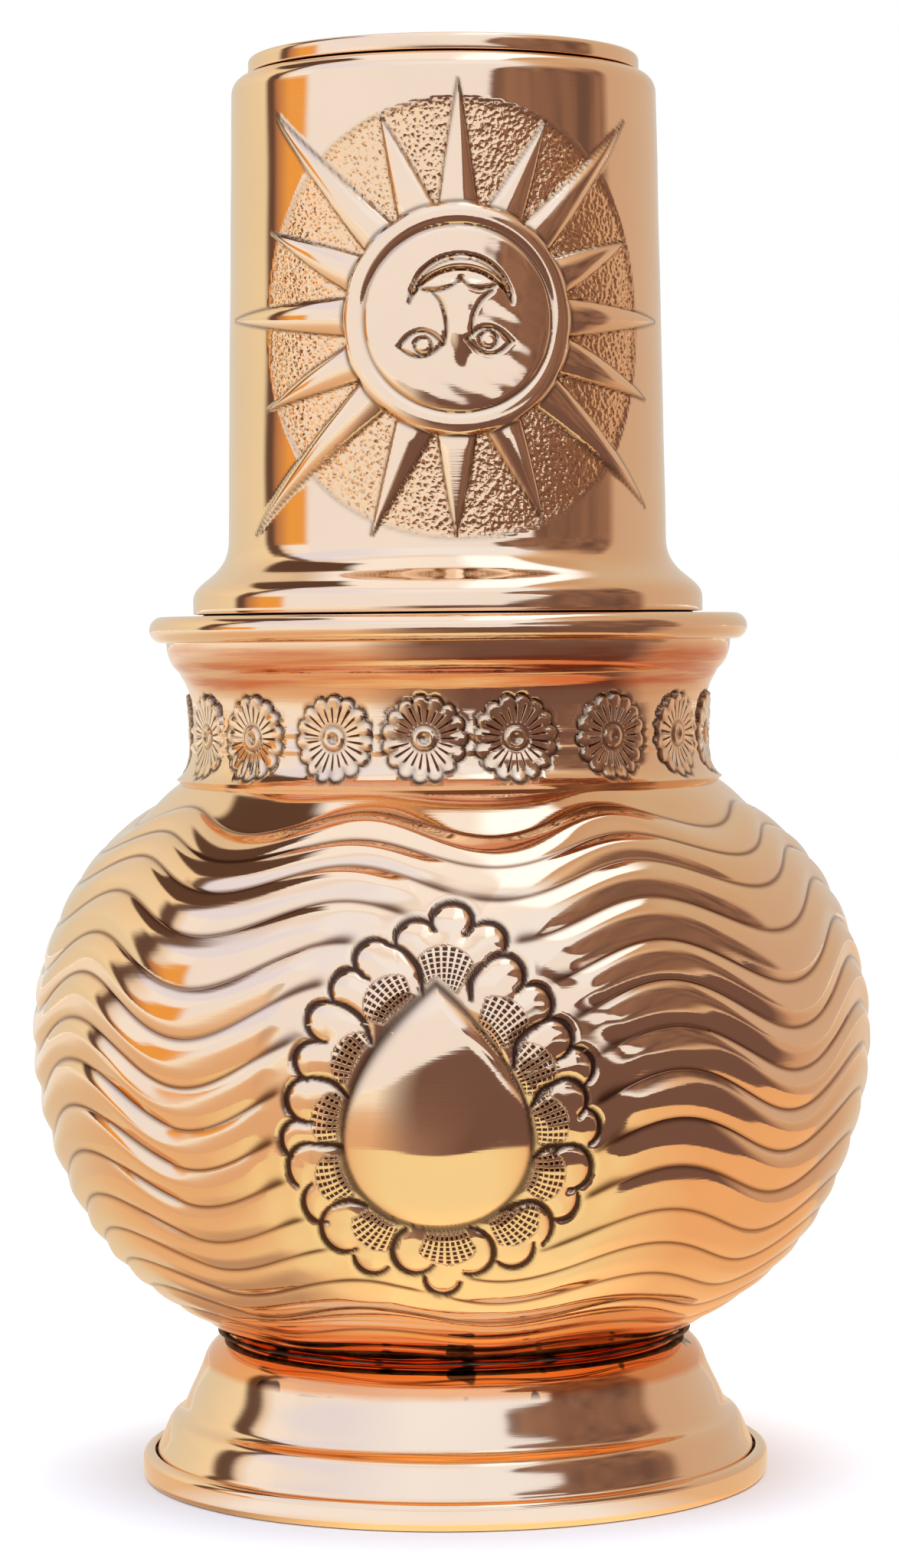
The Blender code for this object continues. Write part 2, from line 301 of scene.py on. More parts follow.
def beaten(azimuth: Array, height: Array, depth: float) -> Array:
    """Faint unevenness of hand beaten sheet.

    Args:
        azimuth: Angle round the axis in degrees.
        height: Height in metres.
        depth: Largest rise in metres.

    Returns:
        Rise at each point.
    """
    turn = np.radians(azimuth)
    tall = height / MM
    ripple = np.sin(5 * turn + 0.11 * tall) + np.sin(9 * turn - 0.19 * tall + 1.7)
    ripple = ripple + np.sin(14 * turn + 0.07 * tall + 4.1) + np.sin(3 * turn + 0.31 * tall + 0.6)
    return depth * ripple / 4.0


def wrap(name: str, azimuths: Array, radii: Array, heights: Array, marks: Marks) -> bpy.types.Object:
    """Wrap a flat grid round the axis and weld it shut.

    Args:
        name: Name of the piece.
        azimuths: Angle of each column in degrees, from one side of the seam to the other.
        radii: Radius at each row and column.
        heights: Height at each row and column.
        marks: Named values per row and column that the finish reads.

    Returns:
        The closed piece, with its faces outwards.
    """
    rows, columns = radii.shape
    bpy.ops.object.select_all(action="DESELECT")
    bpy.ops.mesh.primitive_grid_add(x_subdivisions=columns - 1, y_subdivisions=rows - 1, size=2.0)
    piece = bpy.context.object
    piece.name = name
    mesh = piece.data
    mesh.name = name
    flat = np.empty(len(mesh.vertices) * 3)
    mesh.vertices.foreach_get("co", flat)
    flat = flat.reshape(-1, 3)
    column = np.rint((flat[:, 0] + 1) / 2 * (columns - 1)).astype(int)
    row = np.rint((flat[:, 1] + 1) / 2 * (rows - 1)).astype(int)
    turn = np.radians(azimuths)[column]
    radius = radii[row, column]
    place = np.column_stack((radius * np.sin(turn), -radius * np.cos(turn), heights[row, column]))
    mesh.vertices.foreach_set("co", place.ravel())
    for mark, values in marks.items():
        layer = mesh.attributes.new(mark, "FLOAT", "POINT")
        layer.data.foreach_set("value", values[row, column].astype(np.float32))
    bpy.ops.object.mode_set(mode="EDIT")
    bpy.ops.mesh.select_all(action="SELECT")
    bpy.ops.mesh.remove_doubles(threshold=WELD)
    bpy.ops.mesh.delete_loose()
    bpy.ops.mesh.select_all(action="SELECT")
    bpy.ops.mesh.normals_make_consistent(inside=False)
    bpy.ops.object.mode_set(mode="OBJECT")
    bpy.ops.object.shade_smooth_by_angle(angle=math.radians(CREASE))
    return piece


def sheet(name: str, azimuths: Array, outside: tuple[Array, Array], inside: tuple[Array, Array],
          marks: Marks) -> bpy.types.Object:
    """Close a chased outside with a plain inside, and wrap both.

    Args:
        name: Name of the piece.
        azimuths: Angle of each column in degrees.
        outside: Radius and height at each row and column, from the top down.
        inside: Radius and height of each row on the way back up, for all columns or for each.
        marks: Named values on the outside that the finish reads.

    Returns:
        The closed piece.
    """
    back = (len(inside[0]), len(azimuths))
    radii, heights = (np.vstack((out, np.broadcast_to(into, back), out[:1]))
                      for out, into in zip(outside, inside))
    plain = np.zeros((back[0] + 1, back[1]))
    marks = {mark: np.vstack((part, plain)) for mark, part in marks.items()}
    return wrap(name, azimuths, radii, heights, marks)


def columns_of(path: Path) -> tuple[Array, Array]:
    """Radii and heights of a path, each as one column of rows."""
    points = np.array(path)
    return points[:, :1], points[:, 1:]


def turned(name: str, section: Path, columns: int, uneven: float) -> bpy.types.Object:
    """Spin a section into a plain turned piece.

    Args:
        name: Name of the piece.
        section: Closed outline of radius and height. One that starts on the axis ends on it too.
        columns: Number of flats round it.
        uneven: Depth of the hand beaten unevenness.

    Returns:
        The closed piece.
    """
    outline = section + section[:1] if section[0][0] > 0 else section
    azimuths = np.linspace(-180.0, 180.0, columns + 1)
    radii, heights = (np.repeat(part, columns + 1, axis=1) for part in columns_of(outline))
    rise = beaten(azimuths[None, :], heights, uneven)
    return wrap(name, azimuths, radii + np.where(radii > EVEN_RADIUS, rise, 0.0), heights, {})


def finish_piece(piece: bpy.types.Object, body: Body, material: bpy.types.Material,
                 node: str) -> None:
    """Dress a piece and tie it to the frame.

    Args:
        piece: The finished mesh object.
        body: Body that it rides on.
        material: Its material.
        node: CAD node that it stands for.
    """
    piece.data.materials.clear()
    piece.data.materials.append(material)
    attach(piece, body.value)
    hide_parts(node)
    LOG.info("%s: %d faces on %s", piece.name, len(piece.data.polygons), body.value)


class Nodes:
    """Node tree of a material or of the world, built from the inputs on."""

    def __init__(self, tree: bpy.types.NodeTree) -> None:
        """Keep the tree that the nodes go into."""
        self.tree = tree

    def fill(self, node: bpy.types.Node, inputs: Inputs) -> None:
        """Link sockets and set values.

        Args:
            node: Node to fill.
            inputs: Socket, colour or number for each named or numbered input.
        """
        for key, value in inputs.items():
            if isinstance(value, bpy.types.NodeSocket):
                self.tree.links.new(value, node.inputs[key])
            elif isinstance(value, tuple) and node.inputs[key].type == "RGBA":
                node.inputs[key].default_value = (*value, 1.0)
            else:
                node.inputs[key].default_value = value

    def node(self, kind: str, inputs: Inputs, **settings: object) -> bpy.types.Node:
        """Add a node.

        Args:
            kind: Its type, without ShaderNode in front.
            inputs: What goes into it.
            settings: Its other properties.

        Returns:
            The node.
        """
        made = self.tree.nodes.new("ShaderNode" + kind)
        for name, value in settings.items():
            setattr(made, name, value)
        self.fill(made, inputs)
        return made

    def add(self, kind: str, output: int | str, inputs: Inputs, **settings: object) -> Socket:
        """Add a node and hand back one of its outputs."""
        return self.node(kind, inputs, **settings).outputs[output]

    def place(self) -> Socket:
        """The object's own coordinates."""
        return self.add("TexCoord", "Object", {})

    def split(self, place: Socket) -> tuple[Socket, ...]:
        """Across, back and up parts of a vector."""
        return tuple(self.node("SeparateXYZ", {"Vector": place}).outputs)

    def bearing(self, place: Socket) -> Socket:
        """Bearing of a place from the pot's axis.

        Args:
            place: Coordinate socket.

        Returns:
            Degrees from the camera's side, more to the right.
        """
        across, back, _ = self.split(place)
        turn = self.calc("ARCTAN2", across, self.calc("MULTIPLY", back, -1.0))
        return self.calc("MULTIPLY", turn, 180.0 / math.pi)

    def mark(self, name: str) -> Socket:
        """Value that the piece is marked with."""
        return self.add("Attribute", "Fac", {}, attribute_name=name)

    def calc(self, operation: str, *values: Socket | float) -> Socket:
        """Sum, product or other operation on sockets and numbers."""
        return self.add("Math", "Value", dict(enumerate(values)), operation=operation)

    def product(self, first: Socket, *others: Socket) -> Socket:
        """Multiply sockets.

        Args:
            first: One of them.
            others: The rest.

        Returns:
            The product's socket.
        """
        for other in others:
            first = self.calc("MULTIPLY", first, other)
        return first

    def mix(self, part: Socket, first: Socket | Colour, second: Socket | Colour) -> Socket:
        """Mix two colours by the share of the second."""
        return self.add("Mix", 2, {0: part, 6: first, 7: second}, data_type="RGBA")

    def noise(self, place: Socket, scale: float, detail: float) -> Socket:
        """Clouds, by their number to a metre and their octaves."""
        return self.add("TexNoise", "Fac", {"Vector": place, "Scale": scale, "Detail": detail})

    def drawn_out(self, place: Socket, flatness: float) -> Socket:
        """Coordinates that draw noise out into lines round the axis."""
        return self.add("Mapping", "Vector", {"Vector": place, "Scale": (flatness, flatness, 1.0)})

    def stretch(self, value: Socket, source: Point, target: Point) -> Socket:
        """Stretch a value from one range to another."""
        names = ("From Min", "From Max", "To Min", "To Max")
        return self.add("MapRange", "Result", {"Value": value, **dict(zip(names, source + target))})

    def ease(self, value: Socket, low: float, high: float) -> Socket:
        """Ease from 0 to 1 between two values.

        Args:
            value: Socket to read.
            low: Value that gives 0.
            high: Value that gives 1.

        Returns:
            The eased value's socket.
        """
        rising = low < high
        inputs = {"Value": value, "From Min": min(low, high), "From Max": max(low, high),
                  "To Min": 0.0 if rising else 1.0, "To Max": 1.0 if rising else 0.0}
        return self.add("MapRange", "Result", inputs, interpolation_type="SMOOTHSTEP")

    def ramp(self, part: Socket, stops: Stops) -> Socket:
        """Colour by a value from 0 to 1.

        Args:
            part: Socket to read.
            stops: Values in order, and the colour at each.

        Returns:
            The colour's socket.
        """
        node = self.node("ValToRGB", {"Fac": part})
        elements = node.color_ramp.elements
        while len(elements) < len(stops):
            elements.new(0.5)
        for element, (position, colour) in zip(elements, stops):
            element.position = position
            element.color = (*colour, 1.0)
        return node.outputs["Color"]

    def bump(self, height: Socket, distance: float, **others: object) -> Socket:
        """Normal with a fine relief in it, by the relief from 0 to 1 and its depth in metres."""
        return self.add("Bump", "Normal", {"Height": height, "Distance": distance, **others})


def start_material(name: str) -> tuple[bpy.types.Material, Nodes]:
    """Start a node material.

    Args:
        name: Its name.

    Returns:
        The material, and its nodes.
    """
    made = bpy.data.materials.new(name)
    made.use_nodes = True
    return made, Nodes(made.node_tree)


@dataclass(frozen=True)
class Copper:
    """Polished copper sheet with painted shade in its chased lines and hollows, and painted reflections in
    bands.
    """

    name: str
    colour: Colour = (0.94, 0.63, 0.39)
    cloudy: float = 0.93        # colour of its duller clouds, as a share
    # painted shade: dark colour of the chased lines, punched dashes and hollows
    recess_shade: Colour = (0.075, 0.032, 0.02)
    groove_shade: Colour = (0.19, 0.062, 0.024)        # painted shade along the shallow wave grooves
    roughness: float = 0.06
    worn: float = 0.25          # how much rougher the recesses are
    turning: float = 0.25       # strength of the fine lines left by turning and buffing
    stipple: float = 0.0        # depth of the punched grain
    # painted reflection: golden tint of the punched ground, for the warm floor that it mirrors
    grain: Colour = (0.93, 0.52, 0.24)
    pit_shade: Colour = (0.34, 0.15, 0.07)           # painted shade in the bottoms of that grain
    hatched: bool = False
    dashes: Point = (0.27, 0.35)                # half width and half length of punched dashes
    reflection_band: tuple[float, float, float] = (0.0, 0.0, 0.0)     # painted reflection of warm copper nearby: redder from, redder to, how softly
    reflection_tint: Colour = (0.90, 0.42, 0.20)           # colour of that painted reflection
    streaks: float = 0.0        # lines to a metre in that painted reflection, drawn out along the turning lines
    smears: float = 0.0         # how much of it is smeared with solder
    smear: Colour = (0.05, 0.04, 0.04)

    def make(self) -> bpy.types.Material:
        """Build the node material.

        Returns:
            The material.
        """
        made, nodes = start_material(self.name)
        place = nodes.place()
        cloud = nodes.noise(place, 60.0, 3.0)
        rough = nodes.stretch(cloud, (0.3, 0.7), (self.roughness * 0.75, self.roughness * 1.5))
        colour = nodes.mix(cloud, self.colour, tuple(part * self.cloudy for part in self.colour))
        # Painted reflection: a redder band where nearby warm copper is mirrored.
        if self.reflection_band[1] > 0:
            colour = self.paint_reflection(nodes, place, colour)
        # Painted shade: grooves and recesses are darkened where shade falls in them.
        colour = nodes.mix(nodes.mark("groove"), colour, self.groove_shade)
        recess = nodes.mark("recess")
        colour = nodes.mix(recess, colour, self.recess_shade)
        polish = nodes.noise(nodes.drawn_out(place, 0.03), 2600.0, 3.0)
        normal = nodes.bump(polish, 0.00002, Strength=self.turning)
        if self.stipple:
            colour, normal = self.stippled(nodes, place, colour, normal)
        if self.hatched:
            colour, normal = self.hatching(nodes, colour, normal)
        nodes.fill(made.node_tree.nodes["Principled BSDF"], {
            "Metallic": 1.0, "Base Color": colour, "Normal": normal,
            "Roughness": nodes.calc("MULTIPLY_ADD", recess, self.worn, rough)})
        return made

    def paint_reflection(self, nodes: Nodes, place: Socket, colour: Socket) -> Socket:
        """Painted reflection of nearby warm copper: redder copper between two heights.

        Args:
            nodes: Material's nodes.
            place: Coordinate socket.
            colour: Colour so far.

        Returns:
            The new colour's socket.
        """
        low, high, soft = self.reflection_band
        ragged = 1.5 * soft
        level = nodes.calc("MULTIPLY_ADD", nodes.noise(place, 90.0, 2.0), ragged, nodes.split(place)[2])
        low, high = low + ragged / 2, high + ragged / 2
        band = nodes.product(nodes.stretch(level, (low - soft, low + soft), (0.0, 1.0)),
                             nodes.stretch(level, (high - soft, high + soft), (1.0, 0.0)))
        share = band
        if self.streaks:
            lines = nodes.noise(nodes.drawn_out(place, 0.04), self.streaks, 3.0)
            share = nodes.product(band, nodes.stretch(lines, (0.40, 0.58), (0.25, 1.0)))
        colour = nodes.mix(share, colour, self.reflection_tint)
        if self.smears:
            edge = 0.70 - self.smears
            spots = nodes.stretch(nodes.noise(place, 130.0, 1.0), (edge, edge + 0.02), (0.0, 0.9))
            colour = nodes.mix(nodes.product(spots, band), colour, self.smear)
        return colour

    def stippled(self, nodes: Nodes, place: Socket, colour: Socket, normal: Socket) -> tuple[Socket, Socket]:
        """Punched grain where the piece is marked for it, with a painted golden reflection and painted shade
        in its pits.

        Args:
            nodes: Material's nodes.
            place: Coordinate socket.
            colour: Colour so far.
            normal: Normal so far.

        Returns:
            The new colour and normal sockets.
        """
        grain = nodes.add("TexVoronoi", "Distance", {"Vector": place, "Scale": 1150.0})
        mask = nodes.mark("stipple")
        # Painted reflection tint on the ground, and painted shade in the pits.
        colour = nodes.mix(nodes.calc("MULTIPLY", mask, 0.55), colour, self.grain)
        pit_shade = nodes.product(nodes.stretch(grain, (0.12, 0.36), (0.75, 0.0)), mask)
        normal = nodes.bump(nodes.product(grain, mask), self.stipple, Normal=normal)
        return nodes.mix(pit_shade, colour, self.pit_shade), normal

    def hatching(self, nodes: Nodes, colour: Socket, normal: Socket) -> tuple[Socket, Socket]:
        """Fine punched dashes on the marked grid, darkened with painted shade.

        Args:
            nodes: Material's nodes.
            colour: Colour so far.
            normal: Normal so far.

        Returns:
            The new colour and normal sockets.
        """
        dash = nodes.mark("hatch")
        for mark, half in zip(("hatch_across", "hatch_along"), self.dashes):
            away = nodes.calc("PINGPONG", nodes.mark(mark), 0.5)
            dash = nodes.product(dash, nodes.stretch(away, (half - 0.06, half + 0.06), (1.0, 0.0)))
        inputs = {"Height": dash, "Distance": 0.0002, "Normal": normal}
        return nodes.mix(dash, colour, self.recess_shade), nodes.add("Bump", "Normal", inputs, invert=True)


@dataclass(frozen=True)
class DullMetal:
    """Grey metal without polish, for solder and wire."""

    name: str
    light: Colour
    dark: Colour
    roughness: float

    def make(self) -> bpy.types.Material:
        """Build the node material.

        Returns:
            The material.
        """
        made, nodes = start_material(self.name)
        lumps = nodes.noise(nodes.place(), 320.0, 4.0)
        nodes.fill(made.node_tree.nodes["Principled BSDF"], {
            "Metallic": 0.85, "Roughness": self.roughness, "Normal": nodes.bump(lumps, 0.0002),
            "Base Color": nodes.ramp(lumps, ((0.35, self.dark), (0.65, self.light)))})
        return made


@dataclass(frozen=True)
class Lobe:
    """Round lobe of a petal on the drawing: middle, radius and the part of its edge that is chased."""

    x: float
    y: float
    radius: float
    start: float        # degrees, counter-clockwise from the right
    end: float


@dataclass(frozen=True)
class Fan:
    """Fan of punched dashes on the drawing: where it leaves the drop and which way it opens."""

    x: float
    y: float
    turn: float         # degrees


@dataclass
class Medallion:
    """Drop shaped boss ringed by lobed petals.

    The petals are laid out on a drawing whose unit is a fifteenth of a millimetre, with y downwards. The
    rest is in millimetres about the medallion's middle, with y upwards.
    """

    azimuth: float = -2.0       # degrees round the pot
    angle: float = -6.8         # degrees on the belly's ellipse
    reach: Point = (36.0, 46.0)     # half the width and height of the sheet that is chased for it
    half_width: float = 15.6
    round_centre: float = -4.9
    tip: float = 21.3
    taper: float = 1.9          # how late the drop narrows towards its tip
    foot: float = -1.35         # edge of the drop below the belly's outline
    boss: float = 2.7           # rise of the drop over its edge
    soft: float = 0.22          # how gently the drop comes to its ceiling
    ridge: float = 6.5          # how far the drop's ridge swings to the right
    moat: float = 2.6           # width of the sunk ground round the drop
    ground: float = -0.55       # petals' edges below the belly's outline
    puff: float = 0.42          # rise of a petal's middle over its edges
    line: float = 0.72          # half width of a chased line at its thickest
    fan_back: float = 6.0       # from a fan's root back to where its dashes meet
    fan_reach: float = 12.2
    fan_half: float = 0.49      # half its opening, in radians
    dash_pitch: Point = (0.112, 0.9)            # radians across and millimetres along
    drawing_unit: float = 15.2
    drawing_middle: Point = (427.0, 581.0)
    drawing_stretch: float = 0.0061
    lobes: tuple[Lobe, ...] = (
        Lobe(378, 135, 52, 26, 196), Lobe(466, 88, 52, -48, 210), Lobe(552, 145, 52, -26, 124),
        Lobe(275, 190, 53, 43, 254), Lobe(213, 268, 52, 55, 218),
        Lobe(150, 350, 51, 74, 270), Lobe(117, 450, 50, 80, 249),
        Lobe(100, 548, 57, 80, 282), Lobe(75, 648, 49, 72, 246),
        Lobe(100, 715, 58, 75, 235), Lobe(130, 800, 50, 120, 285),
        Lobe(185, 860, 60, 115, 300), Lobe(257, 925, 50, 185, 320),
        Lobe(365, 915, 58, 112, 321), Lobe(432, 985, 46, 175, 345), Lobe(505, 918, 58, -107, 90),
        Lobe(655, 855, 58, -55, 142), Lobe(610, 905, 55, -135, 5),
        Lobe(762, 718, 55, -95, 140), Lobe(732, 795, 50, -110, 15),
        Lobe(752, 550, 54, -48, 150), Lobe(790, 620, 50, -65, 70),
        Lobe(718, 398, 52, -75, 145), Lobe(775, 470, 50, -53, 105),
        Lobe(595, 235, 54, -50, 150), Lobe(668, 310, 52, -57, 108),
    )
    edges: tuple[tuple[Point, ...], ...] = (
        ((395, 280), (385, 215), (345, 165), (300, 148)),
        ((265, 400), (245, 345), (200, 310), (160, 300)),
        ((205, 540), (165, 500), (110, 490)),
        ((215, 690), (180, 662), (115, 658)),
        ((248, 808), (200, 793), (155, 808)),
        ((345, 865), (320, 880), (307, 915)),
        ((515, 295), (515, 245), (545, 207)),
        ((622, 465), (628, 405), (665, 368), (700, 350)),
        ((665, 565), (690, 522), (745, 498)),
        ((668, 695), (700, 668), (745, 663)),
        ((585, 822), (615, 808), (645, 800)),
    )
    fans: tuple[Fan, ...] = (
        Fan(447, 252, 88), Fan(338, 322, 138), Fan(258, 462, 152), Fan(205, 605, 168), Fan(212, 730, 200),
        Fan(298, 838, 232), Fan(446, 868, 272), Fan(588, 826, 318), Fan(652, 728, 352), Fan(662, 615, 12),
        Fan(632, 490, 25), Fan(566, 378, 44),
    )

    def place(self, x: float, y: float) -> Point:
        """Move a point from the drawing to the belly.

        Args:
            x: Units to the right on the drawing.
            y: Units down on the drawing.

        Returns:
            Millimetres to the right and up.
        """
        across = (x - self.drawing_middle[0]) / self.drawing_unit
        up = (self.drawing_middle[1] - y) / self.drawing_unit
        return across, up - self.drawing_stretch * min(up, 0.0) ** 2

    def outlines(self) -> list[Path]:
        """Chased lines of the petals.

        Returns:
            Points of each line, in millimetres.
        """
        lines = []
        for lobe in self.lobes:
            edge = arc((lobe.x, -lobe.y), lobe.radius, lobe.start, lobe.end, 12)
            lines.append([self.place(x, -up) for x, up in edge])
        return lines + [flowing([self.place(*corner) for corner in edge], 4) for edge in self.edges]

    def drop_level(self, x: Array, y: Array) -> Array:
        """Distance from the drop's middle as a share of its outline: 0 in the middle, 1 on the edge.

        Args:
            x: Places across.
            y: Places up.

        Returns:
            Share at each place.
        """
        tall = self.tip - self.round_centre
        upper = np.clip((y - self.round_centre) / tall, 0.0, 0.999)
        half = self.half_width * (1 - upper ** self.taper)
        swing = self.ridge * np.sin(math.pi * np.clip(upper * 1.05, 0, 1)) ** 1.5
        ridge = np.minimum(swing, 0.62 * half)
        x = (x - ridge) * half / np.where(x > ridge, half - ridge, half + ridge)
        lower = np.linspace(0.0, math.pi / 2, 200)
        upper = np.linspace(0.0, 1.0, 400)
        side_x = self.half_width * np.concatenate((np.sin(lower), 1 - upper ** self.taper))
        side_y = np.concatenate((-self.half_width * np.cos(lower), tall * upper))
        turn = np.linspace(-math.pi / 2, math.pi / 2, 721)
        table = np.interp(turn, np.arctan2(side_y, side_x), np.hypot(side_x, side_y))
        bearing = np.arctan2(y - self.round_centre, np.abs(x))
        return np.hypot(x, y - self.round_centre) / np.interp(bearing, turn, table)

    def outside(self, x: Array, y: Array) -> Array:
        """Distance outside the ring of petals.

        Args:
            x: Places across.
            y: Places up.

        Returns:
            Signed distance, negative inside.
        """
        nearest = (self.drop_level(x, y) - 1.0) * self.half_width
        for lobe in self.lobes:
            middle = self.place(lobe.x, lobe.y)
            radius = lobe.radius / self.drawing_unit
            root = (middle[0] * 0.55, middle[1] * 0.55 - 1.0)
            nearest = np.minimum(nearest, capsule(x, y, (*root, radius), (*middle, radius)))
        return nearest

    def chase(self, x: Array, y: Array, height: Array, outside: Array,
              ceiling: Array) -> tuple[Array, Marks]:
        """Raise the petals and the drop.

        Args:
            x: Places across.
            y: Places up.
            height: Relief so far, in millimetres.
            outside: Distance outside the petals.
            ceiling: Relief that the drop comes close to but doesn't pass.

        Returns:
            The relief with the medallion in it, and the marks for the finish.
        """
        nearest = np.full(x.shape, FAR_AWAY)
        line = np.zeros(x.shape)
        for points in self.outlines():
            for index, (start, end) in enumerate(zip(points, points[1:])):
                away = capsule(x, y, (*start, 0.0), (*end, 0.0))
                part = (index + 0.5) / (len(points) - 1)
                width = self.line * (0.5 + 0.5 * math.sin(math.pi * part) ** 0.8)
                nearest = np.minimum(nearest, away)
                line = np.maximum(line, bell(away, width))
        level = self.drop_level(x, y)
        away = (level - 1.0) * self.half_width * 0.8
        nearest = np.minimum(nearest, np.abs(away) + 0.6)
        puffed = self.ground + self.puff * (1.0 - bell(nearest, 2.3))
        inner = smooth(0.35, -0.35, outside)
        height = height * (1 - inner) + puffed * inner - 0.5 * line
        part = np.clip(level, 0.0, 1.0)
        dome = self.foot + self.boss * (0.72 * (1 - part ** 1.7) + 0.28 * np.sqrt(1 - part ** 4))
        dome = -self.soft * np.logaddexp(-dome / self.soft, -ceiling / self.soft)
        sunk = np.clip(1.0 - away / self.moat, 0.0, 1.0) ** 1.5
        height = np.where(away < 0, dome, height * (1 - sunk) + np.minimum(height, self.foot) * sunk)
        # Painted shade in the chased lines and in a ring round the drop's foot.
        recess = np.where(away < 0, 0.0, smooth(0.2, 0.75, line))
        marks = {"recess": np.clip(np.maximum(recess, 0.9 * bell(away - 0.15, 0.5)), 0.0, 1.0)}
        return height, marks | self.hatch(x, y, away, line)

    def hatch(self, x: Array, y: Array, away: Array, line: Array) -> Marks:
        """Mark the fans of dashes beside the drop.

        Args:
            x: Places across.
            y: Places up.
            away: Distance from the drop's edge.
            line: Closeness to a chased line.

        Returns:
            Marks for the finish.
        """
        marks = {name: np.zeros(x.shape) for name in ("hatch", "hatch_across", "hatch_along")}
        for fan in self.fans:
            root = self.place(fan.x, fan.y)
            turn = math.radians(fan.turn)
            right = x - root[0] + self.fan_back * math.cos(turn)
            up = y - root[1] + self.fan_back * math.sin(turn)
            reach = np.hypot(right, up)
            bearing = (np.arctan2(up, right) - turn + math.pi) % (2 * math.pi) - math.pi
            far = self.fan_reach - 8.0 * bearing ** 2
            patch = smooth(far + 0.15, far - 0.15, reach)
            patch = patch * smooth(self.fan_half, self.fan_half - 0.03, np.abs(bearing))
            patch = patch * smooth(0.7, 1.1, away) * (1 - line) * (reach > self.fan_back - 1.0)
            here = patch > marks["hatch"]
            drawn = (patch, bearing / self.dash_pitch[0], reach / self.dash_pitch[1])
            marks = {name: np.where(here, new, marks[name]) for name, new in zip(marks, drawn)}
        return marks


@dataclass
class Belly:
    """Round belly with chased waves and the medallion, in two lapped halves.

    Angles are degrees on the belly's ellipse. A wave line's mean angle is the one that it swings about.
    """

    radius: float
    equator: float
    lower_depth: float = 0.063
    upper_height: float = 0.0575
    hole: float = 0.0463
    flat: float = 0.022
    wall: float = 0.0026
    wave_count: int = 8
    wave_crest: float = -15.0       # azimuth of one crest
    seam_line: float = 3.3          # mean angle at which the halves meet
    upper_lines: tuple[float, ...] = (
        -26.1, -19.5, -12.7, -5.6, 1.4, 9.1, 16.4, 24.3, 31.3, 36.8, 43.2, 52.3,
    )
    low_lines: int = 8              # lines below those
    low_step: float = 5.3           # degrees between them
    swing: tuple[Point, ...] = (    # mean angle of a line, and how far it swings there
        (-73.0, 0.0), (-62.0, 0.4), (-45.0, 1.9), (-26.0, 3.2), (-10.0, 4.2), (9.0, 4.7), (24.0, 3.6),
        (44.0, 2.6), (51.1, 0.0),
    )
    rise: tuple[Point, ...] = (     # mean angle of a wave, and its height there in millimetres
        (-60.0, 0.225), (-45.0, 0.315), (-30.0, 0.45), (-15.0, 0.648), (0.0, 0.855), (20.0, 0.765),
        (35.0, 0.45), (43.0, 0.54),
    )
    deep: Point = (1.0, 0.2)        # depth of the line nearest the neck, and its change along the line
    lopsided: float = 0.95          # below 1, the crest of a wave lies nearer to its upper line
    full: Point = (0.0014, 0.0005)  # swell of the lower and the upper half beyond an ellipse
    full_span: Point = (-58.0, 51.0)    # angle at which each half's swell ends
    fade_low: Point = (-60.0, -52.0)    # mean angles between which the waves begin
    fade_top: float = 50.2          # mean angle at which they end
    columns: tuple[tuple[float, float, float], ...] = (     # azimuths from and to, and their step
        (-180.0, -100.0, 1.8), (-100.0, -26.0, 0.85), (-26.0, 22.0, 0.26), (22.0, 100.0, 0.85),
        (100.0, 180.0, 1.8),
    )
    row_step: Point = (0.33, 0.6)   # largest step of rows, over most of the waves and elsewhere
    row_span: Point = (-42.0, 26.0)     # mean angles of those waves
    inside_rows: int = 14
    uneven: float = 0.00003
    medallion: Medallion = field(default_factory=Medallion)

    def lines(self) -> Array:
        """Mean angles of the wave lines, from the foot up."""
        lower = self.upper_lines[0] - self.low_step * np.arange(self.low_lines, 0, -1)
        return np.concatenate((lower, self.upper_lines))

    def along(self, azimuth: Array) -> Array:
        """Place along a wave in radians: 0 on its crests."""
        return self.wave_count * np.radians(azimuth - self.wave_crest)

    def sway(self, mean: Array, azimuth: Array) -> Array:
        """How far a wave line swings up or down.

        Args:
            mean: Mean angle of the line.
            azimuth: Angle round the pot.

        Returns:
            Swing in degrees.
        """
        turn = np.radians(azimuth)
        hand = 0.10 * np.sin(3 * turn + 0.12 * mean + 0.4) + 0.08 * np.sin(5 * turn - 0.09 * mean + 2.0)
        return np.interp(mean, *zip(*self.swing)) * (np.cos(self.along(azimuth)) + hand)

    def outline(self, angle: Array) -> tuple[Array, Array, Array, Array]:
        """Belly's outside at an angle.

        Args:
            angle: Angle on the ellipse.

        Returns:
            Radius, height, and the two parts of the outward normal.
        """
        turn = np.radians(angle)
        depth = np.where(angle > 0, self.upper_height, self.lower_depth)
        normal_r = np.cos(turn) / self.radius
        normal_z = np.sin(turn) / depth
        length = np.hypot(normal_r, normal_z)
        normal_r, normal_z = normal_r / length, normal_z / length
        swell = sum(full * np.sin(math.pi * np.clip(angle / span, 0.0, 1.0) ** 1.5) ** 2
                    for full, span in zip(self.full, self.full_span))
        radius = self.radius * np.cos(turn) + swell * normal_r
        height = self.equator + depth * np.sin(turn) + swell * normal_z
        return radius, height, normal_r, normal_z

    def travel(self, angle: Array) -> Array:
        """Way along the outside from the middle of the medallion.

        Args:
            angle: Angle on the ellipse.

        Returns:
            Millimetres, more upwards.
        """
        grid = np.linspace(-80.0, 60.0, 1401)
        radius, height, _, _ = self.outline(grid)
        step = np.hypot(np.diff(radius), np.diff(height)) / MM
        length = np.concatenate(([0.0], np.cumsum(step)))
        return np.interp(angle, grid, length) - np.interp(self.medallion.angle, grid, length)

